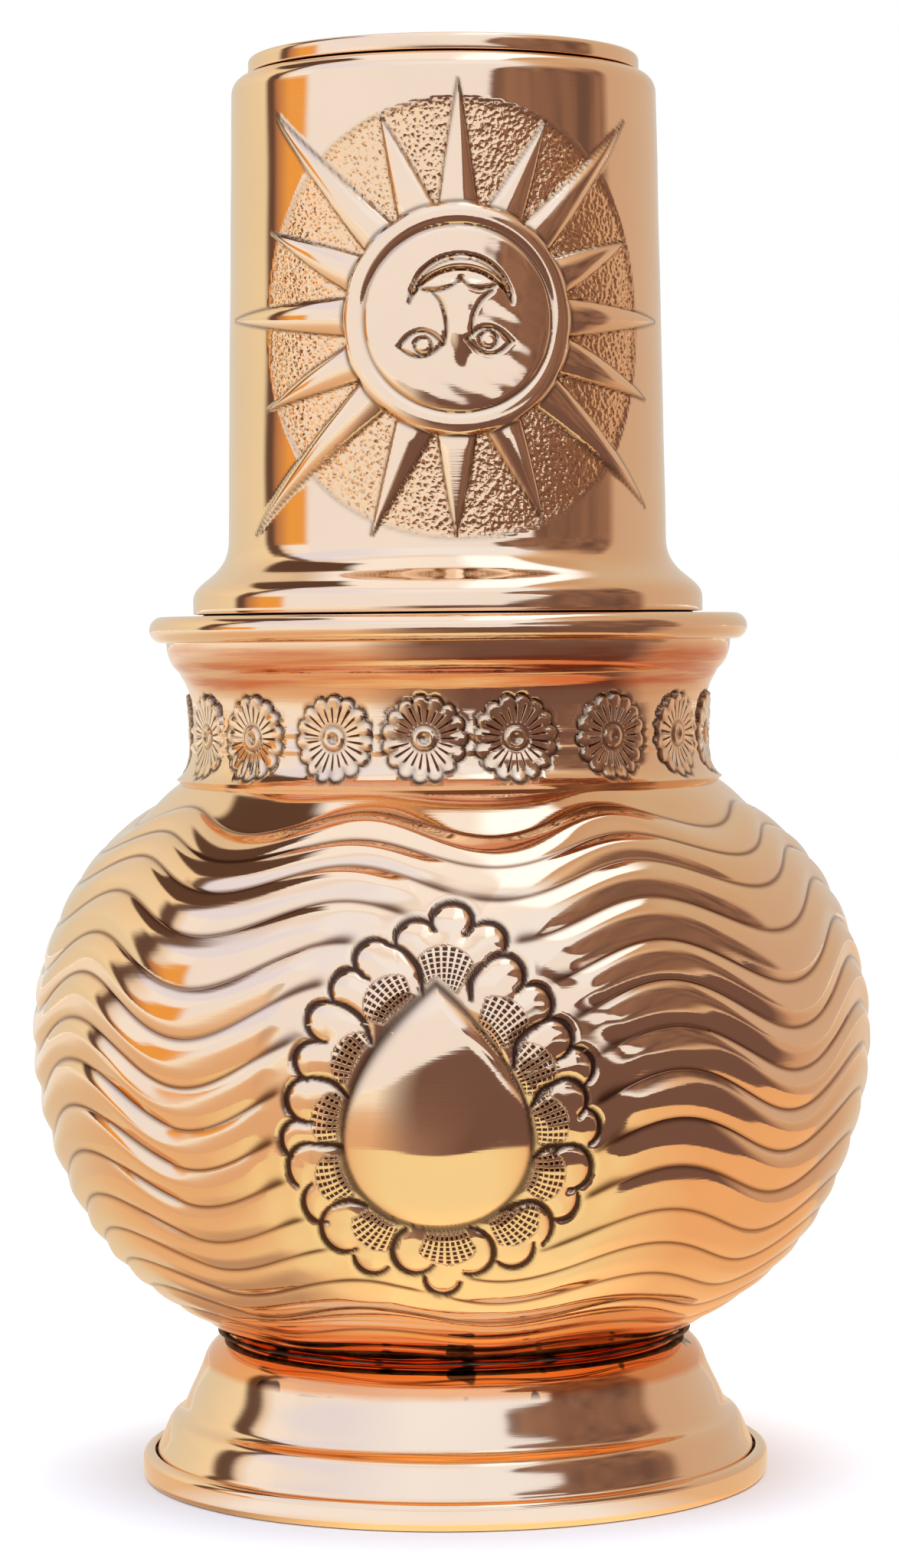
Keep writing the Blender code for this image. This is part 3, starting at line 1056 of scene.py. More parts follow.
    def waves(self, mean: Array, outside: Array) -> tuple[Array, Array]:
        """Relief across the bands between wave lines.

        Args:
            mean: Mean angle.
            outside: Distance outside the petals, near which the lines end in broader strokes of painted
                shade.

        Returns:
            Relief from 0 to 1, and closeness to the groove from 0 to 1, which the finish paints as shade.
        """
        lines = self.lines()
        band = np.clip(np.searchsorted(lines, mean, side="left"), 1, len(lines) - 1)
        top, bottom = lines[band], lines[band - 1]
        down = np.clip((top - mean) / (top - bottom), 0.0, 1.0)
        # The painted shade beside each line broadens near the petals, on all but the lowest waves.
        broad = 0.045 + 0.10 * bell(outside - 3.0, 3.0) * smooth(-32.0, -18.0, mean)
        groove = bell(down, 0.06) + bell(1 - down, broad)
        return np.sin(math.pi * down ** self.lopsided), np.clip(groove, 0, 1)

    def tallness(self, mean: Array, azimuth: Array) -> tuple[Array, Array]:
        """Height of the waves, and depth of the lines between them.

        Args:
            mean: Mean angle.
            azimuth: Angle round the pot.

        Returns:
            Both in millimetres.
        """
        along = self.along(azimuth)
        crest, falling = np.cos(along), np.clip(np.sin(along), 0.0, 1.0)
        tall = np.interp(mean, *zip(*self.rise))
        tall = tall * (1.0 + smooth(18.0, 34.0, mean) * (0.1 + 0.55 * crest)
                       - 0.28 * smooth(5.0, -12.0, mean) * crest)
        left = smooth(-36.0, -43.0, azimuth) * smooth(-76.0, -60.0, azimuth)
        tall = tall * (1.0 + 0.8 * smooth(4.0, -8.0, mean) * falling * left)
        near_top = smooth(self.upper_lines[-3], self.upper_lines[-2], mean)
        return tall, tall * (1 - near_top) + (self.deep[0] - self.deep[1] * crest) * near_top

    def relief(self, mean: Array, angle: Array, azimuth: Array) -> tuple[Array, Marks]:
        """Chased relief of the outside.

        Args:
            mean: Mean angle of each row.
            angle: Angle of each point.
            azimuth: Azimuth of each point.

        Returns:
            Relief in metres, and the marks for the finish.
        """
        boss = self.medallion
        radius, height, _, _ = self.outline(angle)
        away = (azimuth - boss.azimuth + 180.0) % 360.0 - 180.0
        x = np.radians(away) * radius / MM
        y = self.travel(angle)
        near = (np.abs(x) < boss.reach[0]) & (np.abs(y) < boss.reach[1])
        outside = np.full(x.shape, FAR_AWAY)
        outside[near] = boss.outside(x[near], y[near])
        calm = smooth(0.4, 8.0, outside)
        band, groove = self.waves(mean, outside)
        top = self.upper_lines[-2]
        band = np.where(mean > top, 0.0, band)
        ends = smooth(*self.fade_low, mean) * smooth(self.fade_top, top, mean)
        tall, depth = self.tallness(mean, azimuth)
        hand = 1.0 + 0.12 * np.sin(np.radians(azimuth) * 11 + mean)
        lift = tall * band * calm * ends * hand - depth * ends
        lift = lift * calm + boss.ground * (1 - calm)
        marks = {name: np.zeros(x.shape) for name in ("hatch", "hatch_across", "hatch_along")}
        # Painted shade along the wave lines, darker still near the medallion.
        marks["groove"] = 0.9 * groove * ends * smooth(0.3, 2.5, outside)
        marks["recess"] = 0.65 * marks["groove"] * bell(outside - 3.5, 2.5)
        ceiling = (self.radius - WELD * 10 - radius) / MM
        lift[near], fine = boss.chase(x[near], y[near], lift[near], outside[near], ceiling[near])
        for name, values in fine.items():
            marks[name][near] = np.maximum(marks[name][near], values) if name == "recess" else values
        return np.minimum(lift * MM + beaten(azimuth, height, self.uneven), ceiling * MM), marks

    def half(self, name: str, means: Array, closed_bottom: bool) -> bpy.types.Object:
        """Build one half from its outside rows.

        Args:
            name: Name of the piece.
            means: Mean angle of each row of the outside, from the top down.
            closed_bottom: Whether it runs on to the axis.

        Returns:
            The piece.
        """
        azimuths = spread(*self.columns)
        mean, azimuth = np.meshgrid(means, azimuths, indexing="ij")
        angle = mean + self.sway(mean, azimuth)
        radius, height, normal_r, normal_z = self.outline(angle)
        rise, marks = self.relief(mean, angle, azimuth)
        radius, height = radius + rise * normal_r, height + rise * normal_z
        in_radius, in_height, in_r, in_z = self.outline(np.linspace(angle[-1], angle[0], self.inside_rows))
        in_radius, in_height = in_radius - self.wall * in_r, in_height - self.wall * in_z
        if closed_bottom:
            axis = np.zeros((1, len(azimuths)))
            floor = axis + height[-1:].mean()
            in_radius = np.vstack((radius[-1:] * 0.5, axis, axis, in_radius[:1] * 0.5, in_radius))
            in_height = np.vstack((floor, floor, floor + self.wall, floor + self.wall, in_height))
        return sheet(name, azimuths, (radius, height), (in_radius, in_height), marks)

    def rows(self, top: float, bottom: float) -> Array:
        """Rows of the outside, with one on each wave line.

        Args:
            top: Mean angle of the first row.
            bottom: Mean angle of the last row.

        Returns:
            Mean angle of each row, from the top down.
        """
        stops = [top] + [line for line in self.lines()[::-1] if bottom < line < top] + [bottom]
        parts = []
        for first, last in zip(stops, stops[1:]):
            step = self.row_step[0] if self.row_span[0] < last < self.row_span[1] else self.row_step[1]
            count = max(2, math.ceil(abs(first - last) / step))
            parts.append(first + (last - first) * np.linspace(0.0, 1.0, count + 1)[:-1])
        return np.concatenate(parts + [np.array([bottom])])

    def build(self) -> None:
        """Make and dress both halves."""
        # Painted reflection: the redder bottom band stands for the orange foot mirrored in the belly.
        copper = Copper("belly_copper", hatched=True, reflection_band=(0.0, 0.0335, 0.004),
                        reflection_tint=(0.98, 0.47, 0.21)).make()
        top = math.degrees(math.acos(self.hole / self.radius))
        bottom = -math.degrees(math.acos(self.flat / self.radius))
        shoulder = self.half("belly_shoulder_sheet", self.rows(top, self.seam_line), False)
        finish_piece(shoulder, Body.LOTA, copper, "belly_shoulder")
        bowl = self.half("belly_bowl_sheet", self.rows(self.seam_line, bottom), True)
        finish_piece(bowl, Body.LOTA, copper, "belly_bowl")


@dataclass
class Neck:
    """Waisted collar with a band of rosettes."""

    hem_height: float
    top_height: float
    hem_radius: float = 0.0484
    hem_lift: float = 0.0011
    waist_radius: float = 0.04565
    band_radius: float = 0.05
    wall: float = 0.0013
    uneven: float = 0.00003
    rosettes: int = 17
    columns: int = 44               # flats to a rosette
    chord: float = 0.00042          # longest chord of the outline
    inside_every: int = 6           # rows of the outside to one of the inside
    first_rosette: float = -5.5     # azimuth of one rosette
    rosette_height: float = 0.1315
    rosette_radius: float = 6.9     # millimetres
    scallops: int = 15
    dash_count: int = 22            # dashes in a rosette
    strays: tuple[float, ...] = (3.0, 1.0, 1.6, 0.3, -1.5, 0.3, 1.0)    # degrees, for those in front

    def outside(self) -> Path:
        """Outline from the top edge down to the hem.

        Returns:
            Its points.
        """
        top = (self.band_radius, self.top_height)
        fillet = (self.band_radius - 0.0024, self.top_height - 0.0068)
        band = bezier(top, (top[0], top[1] - 0.0042), (fillet[0] + 0.0014, fillet[1] + 0.0012), fillet, 12)
        waist = (self.waist_radius, self.hem_height + 0.0137)
        cove = bezier(fillet, (fillet[0] - 0.0004, fillet[1] - 0.0012), (waist[0], waist[1] + 0.0036),
                      waist, 14)
        hem = (self.hem_radius, self.hem_height + self.hem_lift)
        lower = bezier(waist, (waist[0], waist[1] - 0.0085), (hem[0] - 0.0028, hem[1] + 0.0022), hem, 16)
        return resample(band + cove[1:] + lower[1:], self.chord)

    def relief(self, azimuth: Array, height: Array) -> tuple[Array, Marks]:
        """Rosettes and the short bars between them.

        Args:
            azimuth: Angle round the pot.
            height: Height in metres.

        Returns:
            Relief in metres, and the marks for the finish.
        """
        pitch = 360.0 / self.rosettes
        number = np.rint((azimuth - self.first_rosette) / pitch)
        front = len(self.strays) // 2
        stray = np.interp(number, np.arange(-front - 1, front + 2), (0.0, *self.strays, 0.0), 0.0, 0.0)
        x = np.radians(azimuth - self.first_rosette - number * pitch - stray) * self.waist_radius / MM
        y = (height - self.rosette_height) / MM
        reach = np.hypot(x, y)
        bearing = np.arctan2(y, x) + 0.7 * number
        scallop = np.abs(np.cos(self.scallops * bearing / 2)) ** 0.6
        inside = self.rosette_radius - 0.5 + 0.85 * scallop - reach
        disc = smooth(-0.25, 0.35, inside)
        dish = 0.40 - 0.16 * smooth(5.6, 2.4, reach)
        button = 0.28 * np.exp(-((reach - 1.35) / 0.5) ** 4) - 0.2 * bell(reach, 0.45)
        collar = bell(reach - 2.1, 0.28)
        rise = disc * (dish + button - 0.15 * collar + 0.08 * scallop * smooth(3.6, 5.8, reach))
        rim = bell(inside + 0.1, 0.36)
        notch = (1 - scallop) * smooth(4.4, 5.6, reach) * disc
        rise = rise - 0.22 * rim - 0.12 * notch + 0.05 * y * disc
        bars = np.exp(-(((y - 0.9) / 0.55) ** 4)) + np.exp(-(((y + 2.0) / 0.55) ** 4))
        rise = rise + 0.34 * bars * smooth(6.9, 7.3, reach)
        # Painted shade in the rosettes' middle, collar, rim and notches; their dashes are darkened as painted
        # shade too.
        dots = 0.8 * bell(reach, 0.42) + 0.7 * collar + 0.7 * bell(reach - 0.85, 0.2)
        dashed = smooth(2.6, 2.9, reach) * smooth(5.6, 5.1, reach - 0.5 * np.sin(4 * bearing))
        marks = {"recess": np.clip(rim + disc * (dots + 0.6 * notch), 0, 1), "hatch": disc * dashed,
                 "hatch_across": bearing / (2 * math.pi) * self.dash_count,
                 "hatch_along": np.zeros(reach.shape)}
        return rise * MM, marks

    def build(self) -> None:
        """Make and dress the collar."""
        # Painted reflection: the redder, streaked band in the cove stands for warm copper mirrored there.
        copper = Copper("neck_copper", hatched=True, reflection_band=(0.1395, 0.1465, 0.0012), reflection_tint=(0.72, 0.25, 0.12),
                        streaks=700.0, dashes=(0.12, 0.6), turning=0.8).make()
        outside = self.outside()
        inside = parallel(outside[::self.inside_every] + outside[-1:], self.wall)[::-1]
        azimuths = np.linspace(-180.0, 180.0, self.rosettes * self.columns + 1)
        radius, height = (np.repeat(part, len(azimuths), axis=1) for part in columns_of(outside))
        rise, marks = self.relief(azimuths[None, :], height)
        rise = rise + beaten(azimuths[None, :], height, self.uneven)
        collar = sheet("neck_sheet", azimuths, (radius + rise, height), columns_of(inside), marks)
        finish_piece(collar, Body.LOTA, copper, "neck_collar")


@dataclass
class Rim:
    """Turned ring at the mouth."""

    seat: float
    bottom: float
    radius: float
    lip_top: float
    neck_radius: float = 0.0503
    neck_overlap: float = 0.0015
    ledge: Point = (0.0024, 0.0036)     # how far the underside steps in over the neck
    lip_radius: float = 0.0433
    lip_wall: float = 0.001
    lip_fillet: float = 0.0006
    plate: float = 0.0016
    crown: float = 0.00025
    chord: float = 0.0006           # longest chord of the outline
    uneven: float = 0.00002

    def build(self) -> None:
        """Make and dress the ring."""
        copper = Copper("rim_copper", turning=0.8).make()
        bead = (self.seat - self.bottom) / 2
        half = self.lip_wall / 2
        under = self.bottom + self.neck_overlap
        roof = self.seat - self.plate
        section = arc((self.lip_radius - half, self.lip_top - half), half, 180, 0, 8)
        section += arc((self.lip_radius + self.lip_fillet, self.seat + 0.0002), self.lip_fillet, 180, 270, 4)
        section += arc((self.radius - bead, self.seat - bead - self.crown), bead, 88, -90, 20)
        section += [(self.neck_radius, self.bottom), (self.neck_radius, under)]
        section += [(self.neck_radius - self.ledge[0], under), (self.neck_radius - self.ledge[1], roof)]
        section += [(self.lip_radius - self.lip_wall, roof)]
        ring = turned("mouth_ring", resample(section, self.chord), FLATS, self.uneven)
        finish_piece(ring, Body.LOTA, copper, "mouth_rim")


@dataclass
class Foot:
    """Flared foot with its rolled edge."""

    radius: float
    top: float
    seat_radius: float = 0.0386
    shoulder: float = 0.0066
    wall: float = 0.0008
    step_radius: float = 0.048
    step_height: float = 0.0126
    hem_width: float = 0.0033
    hem_height: float = 0.0049
    hem_round: float = 0.0013
    slit: float = 0.0004
    slit_round: float = 0.0003
    chord: float = 0.0012           # longest chord of the outline
    uneven: float = 0.00006

    def outside(self) -> Path:
        """Outline from the flange under the belly down into the roll.

        Returns:
            Its points.
        """
        flange = [(self.seat_radius - 0.0034, self.top - 0.0020)]
        shoulder = arc((self.seat_radius - 0.0004, self.top - self.shoulder), self.shoulder, 112, 22, 16)
        start = shoulder[-1]
        step = (self.step_radius, self.step_height)
        skirt = bezier(start, (start[0] + 0.0012, start[1] - 0.0037), (step[0] - 0.0013, step[1] + 0.0034),
                       step, 14)
        ledge = (step[0] + 0.00175, step[1] - 0.0016)
        cove = bezier(step, (step[0] + 0.0003, step[1] - 0.0007), (ledge[0] - 0.0007, ledge[1] + 0.0003),
                      ledge, 6)
        hem = (self.radius - self.hem_width + self.wall, self.hem_height)
        ogee = bezier(ledge, (ledge[0] + 0.0013, ledge[1] - 0.0007), (hem[0] - 0.0013, hem[1] + 0.0024),
                      hem, 12)
        return flange + shoulder + skirt[1:] + cove[1:] + ogee[1:] + [(hem[0], self.hem_round)]

    def roll(self, start: float) -> Path:
        """Outline of the rolled edge, from its inside to the floor.

        Args:
            start: Radius at which the skirt runs into it.

        Returns:
            Its points.
        """
        corner = (self.hem_round - self.wall) / 2
        roof = self.hem_height - self.wall
        edge = start + self.slit
        cavity = self.radius - self.wall
        crown = self.hem_height - self.hem_round
        middle = self.radius - self.hem_round
        points = [(start + corner, self.wall), (cavity - corner, self.wall), (cavity, self.hem_round)]
        points += [(cavity, crown), (cavity - corner, roof), (edge, roof)]
        lip = self.slit_round
        points += arc((edge + lip, self.hem_height - lip), lip, 180, 90, 3)
        points += arc((middle, crown), self.hem_round, 85, 0, 8)
        points += arc((middle, self.hem_round), self.hem_round, 0, -90, 8)
        return points + [(self.radius - self.hem_width + self.hem_round / 2, 0.0)]

    def build(self) -> None:
        """Make and dress the skirt."""
        # Painted reflection: the redder shoulder band stands for the belly mirrored in it; the dark smears in
        # it are solder.
        copper = Copper("foot_copper", roughness=0.075, reflection_band=(0.0203, 0.04, 0.0006),
                        reflection_tint=(0.86, 0.36, 0.14), smears=0.08).make()
        path = self.outside()
        section = path + self.roll(path[-1][0]) + parallel(path, self.wall)[::-1]
        skirt = turned("foot_sheet", resample(section, self.chord), FLATS, self.uneven)
        finish_piece(skirt, Body.LOTA, copper, "foot_skirt")


@dataclass
class Solder:
    """Uneven run of dark solder between belly and foot."""

    outer: float
    low: float
    high: float
    width: float = 0.0018

    def build(self) -> None:
        """Make and dress the run."""
        metal = DullMetal("tin_solder", (0.12, 0.11, 0.095), (0.02, 0.018, 0.015), 0.42).make()
        azimuths = np.linspace(-180.0, 180.0, 361)
        turn = np.radians(azimuths)[None, :]
        rough = 0.5 + 0.2 * np.sin(7 * turn) + 0.17 * np.sin(17 * turn + 1.0)
        rough = rough + 0.13 * np.sin(31 * turn + 2.2)
        across, up = columns_of(arc((0.0, 0.0), 1.0, 90, -270, 14))
        half = self.width / 2
        radii = self.outer - half + across * half * (0.82 + 0.18 * rough)
        heights = self.low + (up + 1) / 2 * (self.high - self.low) * (0.16 + 0.34 * rough)
        run = wrap("foot_solder_run", azimuths, radii, heights, {})
        finish_piece(run, Body.LOTA, metal, "foot_solder")


@dataclass
class Sun:
    """Sun with a face, in millimetres on the unrolled tumbler. The tumbler is upside down, and so is it."""

    azimuth: float = 3.2
    height: float = 0.2019
    ground_radius: float = 36.8
    ground_depth: float = 0.38
    ring_outer: float = 19.4
    ring_inner: float = 15.7
    ray_half: float = 3.3
    features: float = 0.9           # size of eyes, nose and mouth as drawn below
    face_radius: float = 15.0       # where chased lines end
    pupils: tuple[Point, ...] = ((-6.3, -5.2), (5.2, -4.1))
    rays: tuple[Point, ...] = (     # bearing in degrees and reach of each point
        (1.4, 47.0), (22.5, 37.1), (45.3, 49.2), (64.6, 37.3), (89.5, 40.3), (110.9, 36.8), (134.1, 51.0),
        (156.1, 39.7), (177.8, 51.7), (201.2, 40.1), (221.2, 54.4), (247.6, 39.5), (268.9, 36.6),
        (293.0, 37.2), (321.4, 50.4), (342.3, 42.3),
    )

    def relief(self, x: Array, y: Array) -> tuple[Array, Marks]:
        """Whole sun.

        Args:
            x: Places across.
            y: Places up.

        Returns:
            Relief in millimetres, and the marks for the finish.
        """
        reach = np.hypot(x, y)
        ground = smooth(self.ground_radius + 0.25, self.ground_radius - 0.25, reach)
        grain = np.sin(5.3 * x + 1.1 * np.sin(3.1 * y)) * np.sin(5.0 * y + 1.3 * np.sin(2.7 * x))
        rise = ground * (0.13 * grain - self.ground_depth)
        stipple = ground
        # Painted shade at the ground's edge, along the rays and round the ring.
        recess = 0.35 * bell(reach - self.ground_radius, 0.4)
        for bearing, length in self.rays:
            ray, edge = self.ray(x, y, math.radians(bearing), length)
            rise = np.where(ray > -0.2, np.maximum(ray, rise), rise)
            stipple = np.where(edge > -0.1, 0.0, stipple)
            rim = 0.75 * bell(edge + 0.05, 0.3) * (edge > -2.0)
            recess = np.maximum(np.where(edge > 0.3, 0.0, recess), rim)
        face, dark = self.face(x, y, reach)
        inside = self.ring_outer - reach
        ledge = smooth(-0.35, 0.35, inside)
        rise = rise * (1 - ledge) + face * ledge
        recess = np.where(inside > 0.2, dark, np.maximum(recess, 0.7 * bell(inside + 0.3, 0.35)))
        return rise, {"recess": np.clip(recess, 0, 1), "stipple": np.where(inside > -0.3, 0.0, stipple)}

    def ray(self, x: Array, y: Array, turn: float, length: float) -> tuple[Array, Array]:
        """One pointed ray with a ridge along it.

        Args:
            x: Places across.
            y: Places up.
            turn: Bearing of the ray in radians.
            length: Reach of its point from the middle.

        Returns:
            Relief, and distance inside its edge.
        """
        along = x * math.cos(turn) + y * math.sin(turn)
        across = np.abs(y * math.cos(turn) - x * math.sin(turn))
        part = np.clip((along - self.ring_outer) / (length - self.ring_outer), -0.2, 1.2)
        half = self.ray_half * (1.0 - part) * (1.0 + 0.25 * part)
        edge = np.where((along > 0) & (along < length), half - across, -5.0)
        ridge = 0.2 + 0.3 * np.clip(half, 0, 3)
        arch = np.clip(1.0 - (across / np.maximum(half, 0.05)) ** 2, 0.0, 1.0) ** 0.75
        return np.where(edge > 0, ridge * arch, -1.0), edge

    def face(self, x: Array, y: Array, reach: Array) -> tuple[Array, Array]:
        """Ring and face.

        Args:
            x: Places across.
            y: Places up.
            reach: Distance from the middle.

        Returns:
            Relief, and how dark the painted shade in the lines is.
        """
        middle = (self.ring_inner + self.ring_outer) / 2
        half = (self.ring_outer - self.ring_inner) / 2
        band = 1.35 + 0.45 * (1 - ((reach - middle) / half) ** 2)
        dome = 1.45 + 0.55 * (1 - np.clip(reach / self.ring_inner, 0, 1) ** 4) + 0.012 * (15.0 - y)
        dome = dome + 0.035 * np.sin(1.1 * x + 0.6 * y) * np.sin(0.9 * y - 0.3 * x + 0.8)
        step = smooth(self.ring_inner - 0.15, self.ring_inner + 0.45, reach)
        rise = dome * (1 - step) + band * step
        recess = 0.55 * bell(reach - self.ring_inner, 0.3)
        rise = rise - 0.25 * bell(reach - self.ring_inner, 0.4)
        x, y = x / self.features, y / self.features
        nose = bell(x - 0.6, 1.9 + 0.22 * (y + 5.0)) * smooth(-9.5, -2.0, y) * smooth(7.4, 6.2, y)
        outer = 9.22 - np.hypot(x - 0.4, y - 2.68)
        inner = np.hypot(x - 0.4, y + 0.78) - 9.9
        lips = np.minimum(outer, inner)
        rise = rise + 0.75 * np.clip(nose, 0, 1) + 0.65 * smooth(-0.1, 0.9, lips)
        on_face = reach < self.face_radius
        lines = [(np.abs(lips), 0.26, 0.45, (y > 2.5) & on_face),
                 (np.abs(outer - 0.95), 0.2, 0.28, inner > 0.1)]
        lines += [(stroke(x, y, points), 0.3, 0.4, on_face) for points in self.strokes()]
        for pupil_x, pupil_y in self.pupils:
            away = np.hypot(x - pupil_x, y - pupil_y)
            rise = rise + 0.25 * smooth(1.7, 0.9, away)
            lines.append((np.abs(away - 1.55), 0.26, 0.36, on_face))
        # Painted shade in the chased lines of the face.
        for away, width, depth, where in lines:
            line = np.where(where, bell(away, width), 0.0)
            rise = rise - depth * line
            recess = np.maximum(recess, 0.85 * line)
        return rise, recess

    @staticmethod
    def strokes() -> list[Path]:
        """Chased lines of nose and eyes.

        Returns:
            Points of each line.
        """
        left_nose = bezier((-4.6, 4.7), (-2.6, 2.9), (-1.6, -0.5), (-2.6, -4.8), 10)
        right_nose = bezier((6.0, 5.0), (3.4, 3.2), (1.9, 0.5), (2.3, -2.9), 10)
        left_base = bezier((-6.4, 5.3), (-3.2, 4.6), (-1.4, 5.4), (0.5, 7.5), 8)
        right_base = bezier((0.5, 7.5), (1.8, 5.3), (3.4, 4.9), (6.4, 5.9), 8)
        lids = []
        for left, right, levels in (((-10.7, -5.4), (-2.9, -4.9), (-1.5, -7.9)),
                                    ((1.4, -3.9), (9.3, -4.5), (-0.9, -7.6))):
            reach = (right[0] - left[0]) / 3
            lids += [bezier(left, (left[0] + reach, level), (right[0] - reach, level), right, 10)
                     for level in levels]
        return [left_nose, right_nose, left_base, right_base] + lids


@dataclass
class Tumbler:
    """Drinking tumbler, mouth down, with the sun on its wall."""

    mouth: float
    wall_top: float
    top: float
    mouth_radius: float
    lower_radius: float = 0.0387
    upper_radius: float = 0.0372
    shoulder: float = 0.0033
    base_radius: float = 0.03445
    wall: float = 0.0008
    band: float = 0.0022
    flare: float = 0.0107
    lip_round: float = 0.0002
    settle: float = 0.00018         # how far the lip closes the gap to the rim
    flange: float = 0.0032          # width of the edge turned in under the base
    ring_width: float = 0.002
    ring_rounds: Point = (0.0006, 0.0009)       # at the ring's inner and outer edge
    under_round: float = 0.0003
    recess_round: float = 0.0008
    uneven: float = 0.00006
    base_uneven: float = 0.00003
    base_chord: float = 0.003       # longest chord of the base's outline
    base_flats: int = 240
    inside_chord: float = 0.02
    plain_rows: int = 12            # first rows, on flange and shoulder, without relief
    columns: tuple[tuple[float, float, float], ...] = (     # degrees from the sun, from, to and step
        (-180.0, -80.0, 3.5), (-80.0, -30.0, 0.8), (-30.0, 30.0, 0.45), (30.0, 76.0, 0.8), (76.0, 180.0, 3.5),
    )
    row_steps: tuple[Point, ...] = (        # distance from the sun's middle, and the rows' step up to there
        (0.0205, 0.00029), (0.043, 0.00062), (1.0, 0.0012),
    )
    sun: Sun = field(default_factory=Sun)

    def outside(self) -> Path:
        """Outline of the wall from the flange down to the mouth.

        Returns:
            Its points.
        """
        end = self.base_radius - JOINT_GAP
        flange = [(end - self.flange, self.wall_top)]
        shoulder = arc((end, self.wall_top - self.shoulder), self.shoulder, 90, 0, 10)
        low = self.mouth + self.band
        middle = low + self.flare * 0.36
        flare = bezier((self.lower_radius, low + self.flare), (self.lower_radius, middle),
                       (self.mouth_radius, middle), (self.mouth_radius, low), 24)
        lip = arc((self.mouth_radius - self.lip_round, self.mouth + self.lip_round - self.settle),
                  self.lip_round, 0, -90, 3)
        return flange + shoulder + flare + lip

    def rows(self, path: Path) -> Path:
        """Lay close rows over the sun's face and wider ones elsewhere.

        Args:
            path: Outline of the wall.

        Returns:
            The outline with a point at each row.
        """
        fine = [path[0]]
        for start, end in zip(path, path[1:]):
            length = math.dist(start, end)
            done = 0.0
            while done < length - 1e-9:
                away = abs(between(start, end, done / length)[1] - self.sun.height)
                step = next(step for reach, step in self.row_steps if away < reach)
                done = min(length, done + step)
                fine.append(between(start, end, done / length))
        return fine

    def build(self) -> None:
        """Make and dress the wall and the base."""
        copper = Copper("tumbler_copper", stipple=0.0002).make()
        middle = self.sun.azimuth
        azimuths = middle + spread(*self.columns)
        radius, height = (np.repeat(part, len(azimuths), axis=1)
                          for part in columns_of(self.rows(self.outside())))
        x = np.radians(azimuths[None, :] - middle) * (self.lower_radius + self.upper_radius) / 2 / MM
        rise, marks = self.sun.relief(*np.broadcast_arrays(x, (height - self.sun.height) / MM))
        past_shoulder = (np.arange(len(height)) > self.plain_rows)[:, None]
        on_wall = past_shoulder & (height > self.mouth + self.band + self.flare * 0.8)
        rise = np.where(on_wall, rise, 0.0) * MM + beaten(azimuths[None, :], height, self.uneven)
        marks = {mark: np.where(on_wall, values, 0.0) for mark, values in marks.items()}
        inside = parallel(resample(self.outside(), self.inside_chord), self.wall)[::-1]
        wall = sheet("tumbler_sheet", azimuths, (radius + rise, height), columns_of(inside), marks)
        finish_piece(wall, Body.TUMBLER, copper, "tumbler_wall")
        self.build_base()

    def build_base(self) -> None:
        """Make and dress the base plate with its ring."""
        plain = Copper("tumbler_base_copper", roughness=0.11).make()
        bottom = self.wall_top + JOINT_GAP
        plate = bottom + self.wall
        inner = self.base_radius - self.ring_width
        small, large = self.ring_rounds
        corner = inner - self.recess_round
        section = [(0.0, plate + 0.0003), (inner * 0.5, plate + 0.0002), (corner, plate)]
        section += arc((corner, plate + self.recess_round), self.recess_round, -90, 0, 4)
        section += arc((inner + small, self.top - small), small, 180, 90, 4)
        section += arc((self.base_radius - large, self.top - large), large, 90, 0, 6)
        under = self.under_round
        section += arc((self.base_radius - under, bottom + under), under, 0, -90, 3)
        section += [(0.0, bottom)]
        section = resample(section, self.base_chord)
        base = turned("tumbler_base_plate", section, self.base_flats, self.base_uneven)
        finish_piece(base, Body.TUMBLER, plain, "tumbler_base")


